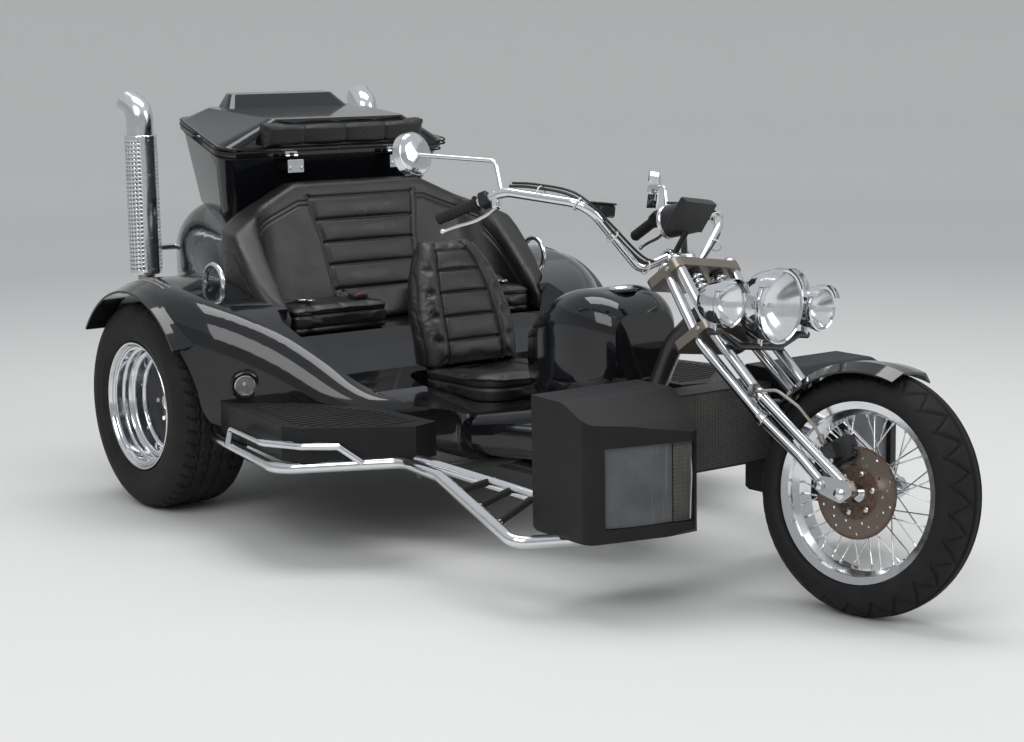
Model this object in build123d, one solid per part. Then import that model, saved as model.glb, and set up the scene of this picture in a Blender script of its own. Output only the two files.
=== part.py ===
from build123d import *
import os
from math import asin, atan2, cos, degrees, radians, sin

# Motorized trike: one steered spoked wheel in front, two wide wheels behind,
# a wrap-around bench with a driver's bucket seat ahead of it, and a lidded trunk.
# Millimetres. X forward, Y left, Z up. Sizes below are measured from the ground
# under the middle of the rear axle; the parts are set down at the end with the
# origin under the middle of the whole vehicle.

# Driving dimensions: running gear
WHEELBASE = 2375
REAR_TYRE_R = 336
REAR_TYRE_WIDTH = 262
REAR_RIM_LIP_R = 207.5
REAR_RIM_FACE_Y = 835
FRONT_TYRE_R = 318
FRONT_TYRE_WIDTH = 150
FRONT_TYRE_CROWN_R = 80
FRONT_RIM_LIP_R = 232
RIM_WALL = 5
AXLE_R = 10
DISC_R = 118
DISC_THICKNESS = 5
DISC_HOLES = 30
DISC_HOLE_R = 4
disc_hole_radii = [78, 91, 104]
SPOKE_COUNT = 40
SPOKE_R = 2

# Driving dimensions: steering, turned a little to the left as it stands
RAKE_DEG = 39
FORK_OFFSET = 160
STEER_REST_DEG = 12
STEM_R = 14
HEADSTOCK_WALL = 6
LEG_R = 15
LEG_Y = 118
UPPER_YOKE_S = 785
LOWER_YOKE_S = 592
YOKE_THICKNESS = 26
BAR_R = 13
GRIP_R = 17
GRIP_LENGTH = 125

# Driving dimensions: lamps
HEADLAMP_R = 98
AUX_LAMP_R = 60
AUX_LAMP_Y = 205
MARKER_R = 40

# Driving dimensions: body, seats and trunk
ARCH_GAP = 42
LINER_WALL = 6
BENCH_HALF_WIDTH = 585
BENCH_THICKNESS = 95
BENCH_RECLINE_DEG = 17
DECK_Z = 565
CUSHION_THICKNESS = 82
PILOT_HALF_WIDTH = 185
PILOT_SEAT_Z = 362
PILOT_BACK_RISE = 108
FRAME_R = 22
BACKBONE_R = 28
RAIL_Y = 120
RAIL_Z = 215
TRUNK_WALL = 6
TRUNK_TILT_DEG = 11.5
HINGE_PIN_R = 4

# Driving dimensions: pipes, rails, steps
STACK_X = -610
STACK_Y = 468
STACK_R = 58
STACK_TIP_R = 48
TIP_WALL = 3
TIP_BORE_DEPTH = 32
STACK_BOTTOM_Z = 690
STACK_SHIELD_TOP_Z = 1180
RAIL_R = 17
LOOP_R = 10
RUNG_R = 8
STEP_TOP_Z = 400
STEP_DEPTH = 100

# Clearances
SEAT_GAP = 0.3
RUN_GAP = 0.5
MOVE_GAP = 12

# Steering axis: foot of the perpendicular from the front wheel's centre
rake = radians(RAKE_DEG)
steer = radians(STEER_REST_DEG)
camber = asin(sin(steer) * sin(rake))
TYRE_RING_R = FRONT_TYRE_R - FRONT_TYRE_CROWN_R
FRONT_AXLE_Z = (TYRE_RING_R * cos(camber) + FRONT_TYRE_CROWN_R
                + FORK_OFFSET * (1 - cos(steer)) * sin(rake))
FOOT_X = WHEELBASE - FORK_OFFSET * cos(rake)
FOOT_Z = FRONT_AXLE_Z - FORK_OFFSET * sin(rake)
steer_axis = Axis((FOOT_X, 0, FOOT_Z), (-sin(rake), 0, cos(rake)))


def fork_point(n, y, s):
    """Point n ahead of the steering axis, y to the left and s up along it."""
    return (FOOT_X + n * cos(rake) - s * sin(rake), y, FOOT_Z + n * sin(rake) + s * cos(rake))


def turned(shape):
    """Turn a piece of the straight-ahead fork to where it stands."""
    return shape.rotate(steer_axis, STEER_REST_DEG)


def both(shape):
    """A piece and its mirror image, as solids side by side."""
    return Compound(children=[shape, mirror(shape, about=Plane.XZ)])


def tube(points, bend, r):
    """Round bar along straight runs joined by arcs."""
    path = FilletPolyline(*points, radius=bend) if bend else Polyline(*points)
    return sweep(Plane(origin=path @ 0, z_dir=path % 0) * Circle(r), path=path)


def rod(start, end, r):
    """Straight round bar between two points."""
    path = Line(start, end)
    return Solid.make_cylinder(r, path.length, Plane(origin=start, z_dir=path % 0))


def ring(profile_points, centre, axis_dir=(0, 1, 0)):
    """Solid turned about an axle from points (radius, place along the axle)."""
    plane = Plane(origin=centre, x_dir=(0, 0, 1), z_dir=(-axis_dir[1], axis_dir[0], 0))
    face = make_face(plane * Polyline(*profile_points, close=True))
    return revolve(face, axis=Axis(centre, axis_dir))


def section(x, half_width, bottom, top, corner):
    """Rounded cross-section of a body at one station."""
    plane = Plane(origin=(x, 0, (bottom + top) / 2), x_dir=(0, 1, 0), z_dir=(1, 0, 0))
    return plane * RectangleRounded(2 * half_width, top - bottom, corner)


def hull(rows, grow=0.0):
    """Loft through rounded sections: station, half width, bottom, top, corner radius."""
    faces = [section(x, w + grow, b - grow, t + grow, c) for x, w, b, t, c in rows]
    return loft(faces)


# Rear wheels: deep-dish rims, tyres with a flat tread
REAR_BEAD_R = REAR_RIM_LIP_R - 14
REAR_TYRE_MID_Y = REAR_RIM_FACE_Y - REAR_TYRE_WIDTH / 2 + 8
HUB_R = 78
HUB_BORE_R = 24


def rear_tyre(side):
    """Wide tyre: square shoulders, bulged walls, bead seats on the rim."""
    half = REAR_TYRE_WIDTH / 2
    bead = half - 22
    r0 = REAR_BEAD_R + SEAT_GAP
    lip = REAR_RIM_LIP_R + 2
    edge = bead - SEAT_GAP
    outside = [(r0, edge), (lip, edge), (lip + 4, bead + 9), (r0 + 62, half), (REAR_TYRE_R - 28, half - 6),
               (REAR_TYRE_R - 8, half - 22), (REAR_TYRE_R, half - 44)]
    inside = [(REAR_TYRE_R - 22, half - 24), (r0 + 46, bead - 4), (r0, bead - 22)]
    profile = (outside + [(r, -y) for r, y in outside[::-1]]
               + [(r, -y) for r, y in inside[::-1]] + inside)
    points = [(r, side * y) for r, y in profile]
    return ring(points, (0, side * REAR_TYRE_MID_Y, REAR_TYRE_R))


def rear_rim(side):
    """Deep-dish rim: stepped barrel, centre set well in, hub with a bore for the axle."""
    half = REAR_TYRE_WIDTH / 2
    bead = half - 22
    b = REAR_BEAD_R
    w = RIM_WALL
    profile = [
        (REAR_RIM_LIP_R, bead + 8), (REAR_RIM_LIP_R, bead), (b, bead), (b, 70),
        (b - 18, 52), (b - 18, -20), (b, -40), (b, -bead), (REAR_RIM_LIP_R, -bead),
        (REAR_RIM_LIP_R, -bead - 7), (b - w, -bead - 4), (b - w, -44), (b - 18 - w, -26),
        (HUB_R + 8, -52), (HUB_R, -70), (HUB_BORE_R, -70), (HUB_BORE_R, 8), (HUB_R - 14, 8),
        (HUB_R - 8, -8), (HUB_R + 12, -36), (b - 34, -12), (b - 18 - w, 6), (b - 18 - w, 54),
        (b - w, 76), (b - w, bead + 4)]
    points = [(r, side * y) for r, y in profile]
    return ring(points, (0, side * REAR_TYRE_MID_Y, REAR_TYRE_R))


rear_tyre_right = rear_tyre(-1)
rear_tyre_left = rear_tyre(1)
rear_rim_right = rear_rim(-1)
rear_rim_left = rear_rim(1)

# Rear axle: beam between the hubs, a stub into each, a drum cover and brackets
STUB_END_Y = REAR_TYRE_MID_Y + 4
AXLE_BEAM_R = 38
BEAM_END_Y = REAR_TYRE_MID_Y - 84
beam = rod((0, -BEAM_END_Y, REAR_TYRE_R), (0, BEAM_END_Y, REAR_TYRE_R), AXLE_BEAM_R)
stub = rod((0, -STUB_END_Y, REAR_TYRE_R), (0, STUB_END_Y, REAR_TYRE_R), HUB_BORE_R - RUN_GAP)
backplate = both(rod((0, BEAM_END_Y - 10, REAR_TYRE_R), (0, BEAM_END_Y, REAR_TYRE_R), HUB_R))
gearbox = Pos(0, 0, RAIL_Z + FRAME_R + SEAT_GAP + 100) * Box(190, 250, 200)
rear_axle = beam + stub + backplate + gearbox

# Front wheel: spoked rim, hub, tyre and brake disc, all on the front axle
FRONT_BEAD_R = FRONT_RIM_LIP_R - 14
FRONT_RIM_HALF = 52
FRONT_HUB_R = 26
FRONT_HUB_HALF = 46
FLANGE_R = 48
axle_centre = (WHEELBASE, 0, FRONT_AXLE_Z)

half = FRONT_TYRE_WIDTH / 2
r0 = FRONT_BEAD_R + SEAT_GAP
edge = FRONT_RIM_HALF - SEAT_GAP
lip = FRONT_RIM_LIP_R + 2
tread_half = [(r0, edge), (lip, edge), (lip + 4, edge + 6), (r0 + 44, half - 2), (TYRE_RING_R + 28, half),
              (TYRE_RING_R + 46, half - 9), (TYRE_RING_R + 66, half - 31), (FRONT_TYRE_R - 2, 18)]
inside_half = [(FRONT_TYRE_R - 18, 16), (r0 + 42, half - 16), (r0, FRONT_RIM_HALF - 17)]
tyre_profile = (tread_half + [(FRONT_TYRE_R, 0)] + [(r, -y) for r, y in tread_half[::-1]]
                + [(r, -y) for r, y in inside_half[::-1]] + inside_half)
front_tyre = turned(ring(tyre_profile, axle_centre))

b = FRONT_BEAD_R
rim_profile = [
    (FRONT_RIM_LIP_R, FRONT_RIM_HALF + 5), (FRONT_RIM_LIP_R, FRONT_RIM_HALF), (b, FRONT_RIM_HALF),
    (b, 30), (b - 14, 18), (b - 14, -18), (b, -30), (b, -FRONT_RIM_HALF),
    (FRONT_RIM_LIP_R, -FRONT_RIM_HALF), (FRONT_RIM_LIP_R, -FRONT_RIM_HALF - 5),
    (b - RIM_WALL, -FRONT_RIM_HALF), (b - RIM_WALL, -33), (b - 19, -20), (b - 19, 20),
    (b - RIM_WALL, 33), (b - RIM_WALL, FRONT_RIM_HALF)]
hub_profile = [
    (AXLE_R + RUN_GAP, -FRONT_HUB_HALF), (FRONT_HUB_R, -FRONT_HUB_HALF), (FLANGE_R, -FRONT_HUB_HALF + 6),
    (FLANGE_R, -FRONT_HUB_HALF + 12), (FRONT_HUB_R, -FRONT_HUB_HALF + 18),
    (FRONT_HUB_R, FRONT_HUB_HALF - 18), (FLANGE_R, FRONT_HUB_HALF - 12), (FLANGE_R, FRONT_HUB_HALF - 6),
    (FRONT_HUB_R, FRONT_HUB_HALF), (AXLE_R + RUN_GAP, FRONT_HUB_HALF)]
front_wheel_rim = ring(rim_profile, axle_centre) + ring(hub_profile, axle_centre)
spokes = []
for i in range(SPOKE_COUNT):
    side = 1 if i % 2 else -1
    lean = 1 if i % 4 < 2 else -1
    at_rim = radians(360 / SPOKE_COUNT * i)
    at_hub = at_rim + lean * radians(62)
    start = (WHEELBASE + (FLANGE_R - 5) * cos(at_hub), side * (FRONT_HUB_HALF - 9),
             FRONT_AXLE_Z + (FLANGE_R - 5) * sin(at_hub))
    end = (WHEELBASE + (b - 17) * cos(at_rim), side * 5, FRONT_AXLE_Z + (b - 17) * sin(at_rim))
    spokes.append(rod(start, end, SPOKE_R))
front_wheel_rim = turned(front_wheel_rim + spokes)

DISC_Y = -FRONT_HUB_HALF - 8
disc_profile = [
    (FRONT_HUB_R - 2, DISC_Y + 16), (FRONT_HUB_R - 2, DISC_Y), (62, DISC_Y - 3), (66, DISC_Y - 3),
    (DISC_R, DISC_Y - 3), (DISC_R, DISC_Y - 3 + DISC_THICKNESS), (60, DISC_Y - 3 + DISC_THICKNESS),
    (FLANGE_R - 2, DISC_Y + 16)]
disc_blank = ring(disc_profile, axle_centre) - ring(hub_profile, axle_centre)
disc_holes = []
for i in range(DISC_HOLES):
    angle = radians(360 / DISC_HOLES * i)
    r = disc_hole_radii[i % len(disc_hole_radii)]
    x = WHEELBASE + r * cos(angle)
    z = FRONT_AXLE_Z + r * sin(angle)
    disc_holes.append(rod((x, DISC_Y - 10, z), (x, DISC_Y + 10, z), DISC_HOLE_R))
brake_disc = turned(disc_blank - disc_holes)

# Front axle with end nuts, held in the rockers at the fork's feet
AXLE_END_Y = 132
front_axle = rod((WHEELBASE, -AXLE_END_Y, FRONT_AXLE_Z), (WHEELBASE, AXLE_END_Y, FRONT_AXLE_Z), AXLE_R)
front_axle = turned(front_axle)

# Fork: yokes on a stem, fixed rear legs, sprung front legs, rockers at the feet
yoke_rows = [
    # along the axis, rear end, front end
    (UPPER_YOKE_S, -68, 62),
    (LOWER_YOKE_S, -82, 58),
]
yokes = rod(fork_point(0, 0, LOWER_YOKE_S), fork_point(0, 0, UPPER_YOKE_S), STEM_R)
for s, back, front in yoke_rows:
    plane = Plane(origin=fork_point((back + front) / 2, 0, s - YOKE_THICKNESS / 2),
                  x_dir=(cos(rake), 0, sin(rake)), z_dir=(-sin(rake), 0, cos(rake)))
    plate = plane * RectangleRounded(front - back, 2 * LEG_Y + 50, 24)
    yokes += extrude(plate, YOKE_THICKNESS)
legs_rear_route = [(0, UPPER_YOKE_S + 18), (-10, LOWER_YOKE_S - 22), (50, 300), (101, 150), (124, 55)]
legs_front_route = [(42, UPPER_YOKE_S + 18), (42, LOWER_YOKE_S - 22), (77, 354), (184, 6)]


def leg(route, bend):
    """One fork leg through points (ahead of the axis, up along it)."""
    return tube([fork_point(n, LEG_Y, s) for n, s in route], bend, LEG_R)


rocker_corners = [(104, 66), (140, 66), (196, 18), (196, -22), (150, -22), (112, 30)]
rear_leg = leg(legs_rear_route, [200, 260, 200])
front_leg = leg(legs_front_route, [220, 400])
rocker_link = make_face(Plane(origin=(0, LEG_Y - LEG_R, 0), x_dir=(1, 0, 0), z_dir=(0, -1, 0)) * Polyline(
    *[(fork_point(n, 0, s)[0], fork_point(n, 0, s)[2]) for n, s in rocker_corners], close=True))
rocker = extrude(fillet(rocker_link.vertices(), 12), 2 * LEG_R, dir=(0, 1, 0))
axle_bore = rod((WHEELBASE, 0, FRONT_AXLE_Z), (WHEELBASE, AXLE_END_Y + 20, FRONT_AXLE_Z), AXLE_R + SEAT_GAP)
rear_leg = rear_leg + rocker - axle_bore
front_leg = front_leg - rear_leg - axle_bore
rear_legs = both(rear_leg)
front_legs = both(front_leg)
yokes -= rear_legs
yokes -= front_legs
fork_yokes = turned(yokes)
ahead_yokes = yokes
fork_rear_legs = turned(rear_legs)
fork_front_legs = turned(front_legs)

# Coil springs ahead of the stem, between the yokes
SPRING_R = 21
SPRING_N = 30
SPRING_Y = 52
SPRING_CORE_R = 13
SPRING_TURNS = 9
spring_low = LOWER_YOKE_S + YOKE_THICKNESS / 2 + SEAT_GAP
spring_high = UPPER_YOKE_S - YOKE_THICKNESS / 2 - SEAT_GAP
spring_pitch = (spring_high - spring_low) / SPRING_TURNS
spring_profile = [(0, 0)]
for turn in range(SPRING_TURNS):
    start = turn * spring_pitch
    spring_profile += [(SPRING_CORE_R, start), (SPRING_R - 2, start + 0.12 * spring_pitch),
                       (SPRING_R, start + 0.27 * spring_pitch), (SPRING_R - 2, start + 0.42 * spring_pitch),
                       (SPRING_CORE_R, start + 0.54 * spring_pitch)]
spring_profile += [(SPRING_CORE_R, SPRING_TURNS * spring_pitch), (0, SPRING_TURNS * spring_pitch)]
spring_axis = Axis((0, 0, 0), (0, 0, 1))
spring = revolve(make_face(Plane.XZ * Polyline(*spring_profile, close=True)), axis=spring_axis)
spring_plane = Plane(origin=fork_point(SPRING_N, SPRING_Y, spring_low), x_dir=(0, 1, 0),
                     z_dir=(-sin(rake), 0, cos(rake)))
one_spring = spring_plane * spring
fork_springs = turned(both(one_spring))

# Handlebar: risers on the upper yoke, swept back to the grips
bar_points = [
    fork_point(-20, -40, UPPER_YOKE_S + 75), (1660, -120, 830), (1606, -300, 994), (1356, -360, 1013),
    (1175, -425, 925)]
half_bar = tube(bar_points, [40, 90, 90], BAR_R)
mirrored = mirror(half_bar, about=Plane.XZ)
centre_bar = rod(bar_points[0], fork_point(-20, 40, UPPER_YOKE_S + 75), BAR_R)
riser = rod(fork_point(-20, -40, UPPER_YOKE_S + YOKE_THICKNESS / 2 + SEAT_GAP),
            fork_point(-20, -40, UPPER_YOKE_S + 75), 16)
ahead_bar = half_bar + mirrored + centre_bar + riser + mirror(riser, about=Plane.XZ)
handlebar = turned(ahead_bar)

grip_dir = Vector(1175 - 1356, -425 + 360, 925 - 1013).normalized()
grip_end = Vector(1175, -425, 925) + grip_dir * 6
grip_start = grip_end - grip_dir * GRIP_LENGTH
grip_plane = Plane(origin=grip_start, z_dir=grip_dir)
grip = Solid.make_cylinder(GRIP_R, GRIP_LENGTH, grip_plane)
grip -= Solid.make_cylinder(BAR_R + SEAT_GAP, GRIP_LENGTH - 6 + SEAT_GAP, grip_plane)
hand_grips = turned(both(grip))

# Mirrors on angled stems from the bars
MIRROR_R = 62
mirror_right = tube([(1345, -360, 1006), (1315, -366, 1096), (1080, -448, 1098)], 20, 6)
mirror_right += Pos(1071, -450, 1098) * Rot(0, 75, 0) * Cylinder(MIRROR_R, 26)
mirror_right -= ahead_bar
mirror_right = mirror_right.solids().sort_by(SortBy.VOLUME)[-1]
folded_centre = (1250, 400, 1072)
mirror_left = tube([(1345, 360, 1006), (1322, 366, 1080), (1262, 392, 1074)], 20, 6)
mirror_left += Plane(origin=folded_centre, z_dir=(0.75, 0.66, 0)) * Cylinder(MIRROR_R, 26)
mirror_left -= ahead_bar
mirror_left = mirror_left.solids().sort_by(SortBy.VOLUME)[-1]
mirrors = turned(Compound(children=[mirror_right, mirror_left]))

# Instruments: gauge pod and a holder plate on stalks from the bar's middle
CLAMP_X, CLAMP_Z = fork_point(-20, 0, UPPER_YOKE_S + 75)[::2]
gauge_pod = rod((1618, 34, 968), (1712, 34, 990), 46)
gauge_pod += rod((CLAMP_X, 26, CLAMP_Z), (1672, 34, 960), 9)
gauge_pod = turned(gauge_pod - ahead_bar)
device_holder = Pos(1776, -62, 990) * Rot(0, -60, 0) * Box(90, 130, 22)
device_holder += rod((CLAMP_X, -26, CLAMP_Z), (1776, -50, 986), 8)
device_holder = turned(device_holder - ahead_bar)


def lamp(centre, r, depth):
    """Round lamp: bell-shaped bowl behind a flat lens, facing forward."""
    x, y, z = centre
    outline = [(0, depth), (0.45 * r, 0.93 * depth), (0.8 * r, 0.6 * depth), (r, 0.12 * depth), (r, 0), (0, 0)]
    plane = Plane(origin=centre, x_dir=(0, 0, 1), z_dir=(0, -1, 0))
    face = make_face(plane * Polyline(*outline, close=True))
    return revolve(face, axis=Axis(centre, (1, 0, 0)))


LAMP_X = 2050
LAMP_Z = 766
LAMP_BAR_R = 10
bar_x = LAMP_X - 60
bar_low_z = LAMP_Z - HEADLAMP_R - 14
bar_high_z = LAMP_Z - AUX_LAMP_R - 16
lamp_bar = tube([(bar_x, -AUX_LAMP_Y - 14, bar_high_z), (bar_x, -AUX_LAMP_Y + 30, bar_high_z),
                 (bar_x, -90, bar_low_z), (bar_x, 90, bar_low_z),
                 (bar_x, AUX_LAMP_Y - 30, bar_high_z), (bar_x, AUX_LAMP_Y + 14, bar_high_z)], 24, LAMP_BAR_R)
lamp_arm = rod((bar_x, 60, bar_low_z), fork_point(20, 60, LOWER_YOKE_S), 8)
ahead_bracket = (lamp_bar + lamp_arm + mirror(lamp_arm, about=Plane.XZ)) - ahead_yokes - rear_legs - front_legs
ahead_bracket = ahead_bracket.solids().sort_by(SortBy.VOLUME)[-1]
lamp_bracket = turned(ahead_bracket)
headlamp = lamp((LAMP_X, 0, LAMP_Z), HEADLAMP_R, 122)
headlamp += rod((bar_x, 0, LAMP_Z - 40), (bar_x, 0, bar_low_z), 12)
headlamp = turned(headlamp - ahead_bracket)
aux_lamp = lamp((LAMP_X - 10, AUX_LAMP_Y, LAMP_Z), AUX_LAMP_R, 100)
aux_lamp += rod((bar_x, AUX_LAMP_Y, LAMP_Z - 30), (bar_x, AUX_LAMP_Y, bar_high_z), 8)
aux_lamp -= ahead_bracket
auxiliary_lamps = turned(both(aux_lamp))

# Front fender: a curved blade over the tyre, with stays to the fork's legs
FENDER_R = FRONT_TYRE_R + MOVE_GAP
FENDER_WALL = 4
FENDER_START_DEG = 72
FENDER_END_DEG = 143
FENDER_HALF = 88
fender_profile = [
    (FENDER_R - 26, -FENDER_HALF), (FENDER_R - 5, -50), (FENDER_R, 0), (FENDER_R - 5, 50),
    (FENDER_R - 26, FENDER_HALF), (FENDER_R - 26 + FENDER_WALL, FENDER_HALF + 2),
    (FENDER_R - 1 + FENDER_WALL, 52), (FENDER_R + FENDER_WALL + 2, 0), (FENDER_R - 1 + FENDER_WALL, -52),
    (FENDER_R - 26 + FENDER_WALL, -FENDER_HALF - 2)]
fender_face = make_face(Plane(origin=axle_centre, x_dir=(1, 0, 0), z_dir=(0, 0, 1))
                        * Polyline(*fender_profile, close=True))
fender_face = fender_face.rotate(Axis(axle_centre, (0, 1, 0)), -FENDER_START_DEG)
front_fender = revolve(fender_face, axis=Axis(axle_centre, (0, -1, 0)),
                       revolution_arc=FENDER_END_DEG - FENDER_START_DEG)
fender_ear = rod((2128, FENDER_HALF - 8, 517), (2128, LEG_Y, 517), 12) - front_leg
front_fender = turned(front_fender + fender_ear + mirror(fender_ear, about=Plane.XZ))

# Brake caliper on the right front leg, and its hose
caliper = Pos(WHEELBASE - 60, DISC_Y - 1, FRONT_AXLE_Z + 96) * Rot(0, -32, 0) * Box(86, 46, 58)
slot = ring([(FRONT_HUB_R, DISC_Y - 6), (DISC_R + 4, DISC_Y - 6), (DISC_R + 4, DISC_Y + 6),
             (FRONT_HUB_R, DISC_Y + 6)], axle_centre)
caliper_bracket = Pos(WHEELBASE - 72, DISC_Y - 38, FRONT_AXLE_Z + 90) * Rot(0, -32, 0) * Box(60, 30, 40)
brake_caliper = turned(caliper + caliper_bracket - slot - front_legs)
hose_points = [(2095, -LEG_Y - 18, 546), (2160, -LEG_Y - 18, 556), (2225, -LEG_Y - 6, 520),
               (2262, -LEG_Y + 22, 470), (2282, -LEG_Y + 38, 430)]
brake_hose = turned(tube(hose_points, 40, 4))

# Body: low wide hull with the wheel arches, and a hump behind that carries the trunk
low_rows = [
    # station, half width, bottom, top, corner radius
    (-270, 790, 540, 664, 50),
    (-120, 850, 420, 722, 90),
    (80, 862, 330, 744, 110),
    (280, 845, 300, 706, 110),
    (450, 745, 290, 640, 100),
    (660, 580, 285, 500, 80),
    (900, 430, 280, 425, 55),
    (1120, 350, 275, 385, 40),
]
HUMP_REAR_X = -550
hump_rows = [
    (HUMP_REAR_X, 380, 420, 900, 130),
    (-340, 460, 340, 946, 170),
    (-120, 520, 320, 900, 170),
    (60, 560, 320, 850, 170),
    (180, 560, 320, 760, 150),
]
tunnel_rows = [
    (1080, 330, 270, 384, 38),
    (1300, 230, 268, 420, 40),
    (1560, 150, 280, 470, 40),
]
ARCH_R = REAR_TYRE_R + ARCH_GAP
ARCH_INNER_Y = REAR_TYRE_MID_Y - REAR_TYRE_WIDTH / 2 - 22


def wheel_well(side, grow=0.0):
    """Drum-shaped room round one rear wheel, open outwards and below."""
    y0 = side * (ARCH_INNER_Y - grow)
    y1 = side * 1000
    drum = rod((0, y0, REAR_TYRE_R), (0, y1, REAR_TYRE_R), ARCH_R + grow)
    skirt = Pos(-30, (y0 + y1) / 2, 120) * Box(2 * (ARCH_R + grow) - 60, abs(y1 - y0), 432)
    return drum + skirt


# Seats are made first, because the body has wells to their shape
lean = radians(BENCH_RECLINE_DEG)
BENCH_BACK_X = -28
BENCH_TOP_Z = 1026


def bench_outline(x, half_width, depth, corner, z):
    """Plan of the bench back at one height: a rounded block from behind to the wing tips."""
    plane = Plane(origin=(x + depth / 2, 0, z))
    return plane * RectangleRounded(depth, 2 * half_width, corner)


def bench_block(grow, bottom, top):
    """Bench back as a solid block before its hollow is cut."""
    def back_x(z):
        return BENCH_BACK_X + (BENCH_TOP_Z - z) * sin(lean) / cos(lean) * 0.55
    tip = 440
    low = bench_outline(back_x(bottom) - grow, BENCH_HALF_WIDTH + grow, tip - back_x(bottom) + grow, 150, bottom)
    high = bench_outline(back_x(top) - grow, BENCH_HALF_WIDTH - 40 + grow, tip - 60 - back_x(top) + grow, 150, top)
    return loft([low, high])


def bench_trim():
    """Side and front outlines that the top of the bench back is cut to."""
    side = Plane.XZ * Polyline((-200, 540), (446, 540), (446, 600), (400, 660), (165, 905), (110, BENCH_TOP_Z),
                               (-200, BENCH_TOP_Z), close=True)
    side = extrude(make_face(side), 700, both=True)
    front = Plane.YZ * Polyline((-700, 540), (-700, 760), (-560, 880), (-250, BENCH_TOP_Z), (250, BENCH_TOP_Z),
                                (560, 880), (700, 760), (700, 540), close=True)
    front = extrude(make_face(front), 700, both=True)
    return side & front


bench_solid = bench_block(0, DECK_Z + SEAT_GAP, BENCH_TOP_Z + 20) & bench_trim()
bench_solid = bench_solid - wheel_well(-1, LINER_WALL + SEAT_GAP) - wheel_well(1, LINER_WALL + SEAT_GAP)
inner_low = bench_outline(215, BENCH_HALF_WIDTH - BENCH_THICKNESS, 420, 110, DECK_Z - 40)
inner_high = bench_outline(215 - 540 * sin(lean) / cos(lean), BENCH_HALF_WIDTH - BENCH_THICKNESS - 40, 560, 110,
                           DECK_Z + 500)
bench_back = bench_solid - loft([inner_low, inner_high])
bench_well = bench_block(SEAT_GAP, DECK_Z, BENCH_TOP_Z + 60) - wheel_well(-1, LINER_WALL) - wheel_well(1, LINER_WALL)

CUSHION_INNER_Y = 105
CUSHION_OUTER_Y = 478
CUSHION_FRONT_X = 412
CUSHION_BACK_X = 222
cushion_plan = make_face(Plane(origin=(0, 0, DECK_Z + SEAT_GAP)) * Polyline(
    (CUSHION_BACK_X, CUSHION_INNER_Y), (CUSHION_FRONT_X, CUSHION_INNER_Y), (CUSHION_FRONT_X, CUSHION_OUTER_Y),
    (CUSHION_BACK_X, CUSHION_OUTER_Y), close=True))
rear_corner = cushion_plan.vertices().sort_by(Axis.Y)[-2:].sort_by(Axis.X)[0]
cushion_plan = fillet(fillet(rear_corner, 118).vertices().group_by(Axis.X)[-1], 34)
cushion = extrude(cushion_plan, CUSHION_THICKNESS, dir=(0, 0, 1))
bench_cushions = both(cushion)

# Driver's bucket seat: cushion and a high tapered back
pilot_base = Plane(origin=(855, 0, PILOT_SEAT_Z + SEAT_GAP)) * RectangleRounded(400, 2 * PILOT_HALF_WIDTH + 30, 90)
pilot_cushion = extrude(pilot_base, PILOT_BACK_RISE - 2 * SEAT_GAP)
back_rows = [
    # height, middle, half width, thickness
    (PILOT_SEAT_Z + PILOT_BACK_RISE, 668, PILOT_HALF_WIDTH, 130),
    (PILOT_SEAT_Z + 260, 632, PILOT_HALF_WIDTH + 4, 120),
    (PILOT_SEAT_Z + 400, 586, PILOT_HALF_WIDTH - 30, 90),
    (PILOT_SEAT_Z + 492, 548, 98, 50),
]


def pilot_back_block(grow):
    """Driver's seat back, or the room it needs when grown."""
    return loft([Pos(x, 0, z) * RectangleRounded(t + 2 * grow, 2 * (w + grow), t * 0.42) for z, x, w, t in back_rows])


pilot_back = pilot_back_block(0)
pilot_well = Plane(origin=(830, 0, PILOT_SEAT_Z)) * RectangleRounded(
    450 + 2 * SEAT_GAP, 2 * PILOT_HALF_WIDTH + 30 + 2 * SEAT_GAP, 60)
pilot_well = extrude(pilot_well, 500)

# Trunk: tapered box leaning with the hump, hollow, under a bevelled lid
trunk_tilt = radians(TRUNK_TILT_DEG)
HINGE_X = -52
HINGE_Z = 1112
trunk_plane = Plane(origin=(HINGE_X, 0, HINGE_Z), x_dir=(-cos(trunk_tilt), 0, sin(trunk_tilt)),
                    z_dir=(sin(trunk_tilt), 0, cos(trunk_tilt)))


def trunk_outline(drop, front, depth, front_half, rear_half, corner):
    """Tapered plan of the trunk at one depth below the rim."""
    points = [(front, -front_half), (front + depth, -rear_half), (front + depth, rear_half), (front, front_half)]
    face = make_face(Polyline(*points, close=True))
    face = fillet(face.vertices(), corner)
    return trunk_plane * Pos(0, 0, drop) * face


TRUNK_DEPTH = 470
TRUNK_FRONT_HALF = 452
TRUNK_REAR_HALF = 356
TRUNK_HEIGHT = 250
box_outer = loft([
    trunk_outline(-TRUNK_HEIGHT, 62, TRUNK_DEPTH - 110, 385, 300, 50),
    trunk_outline(-8, 8, TRUNK_DEPTH, TRUNK_FRONT_HALF, TRUNK_REAR_HALF, 60)])
box_inner = loft([
    trunk_outline(-TRUNK_HEIGHT + TRUNK_WALL, 62 + TRUNK_WALL, TRUNK_DEPTH - 110 - 2 * TRUNK_WALL,
                  385 - TRUNK_WALL, 300 - TRUNK_WALL, 45),
    trunk_outline(0, 8 + TRUNK_WALL, TRUNK_DEPTH - 2 * TRUNK_WALL, TRUNK_FRONT_HALF - TRUNK_WALL,
                  TRUNK_REAR_HALF - TRUNK_WALL, 55)])
trunk_box = box_outer - box_inner
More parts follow.
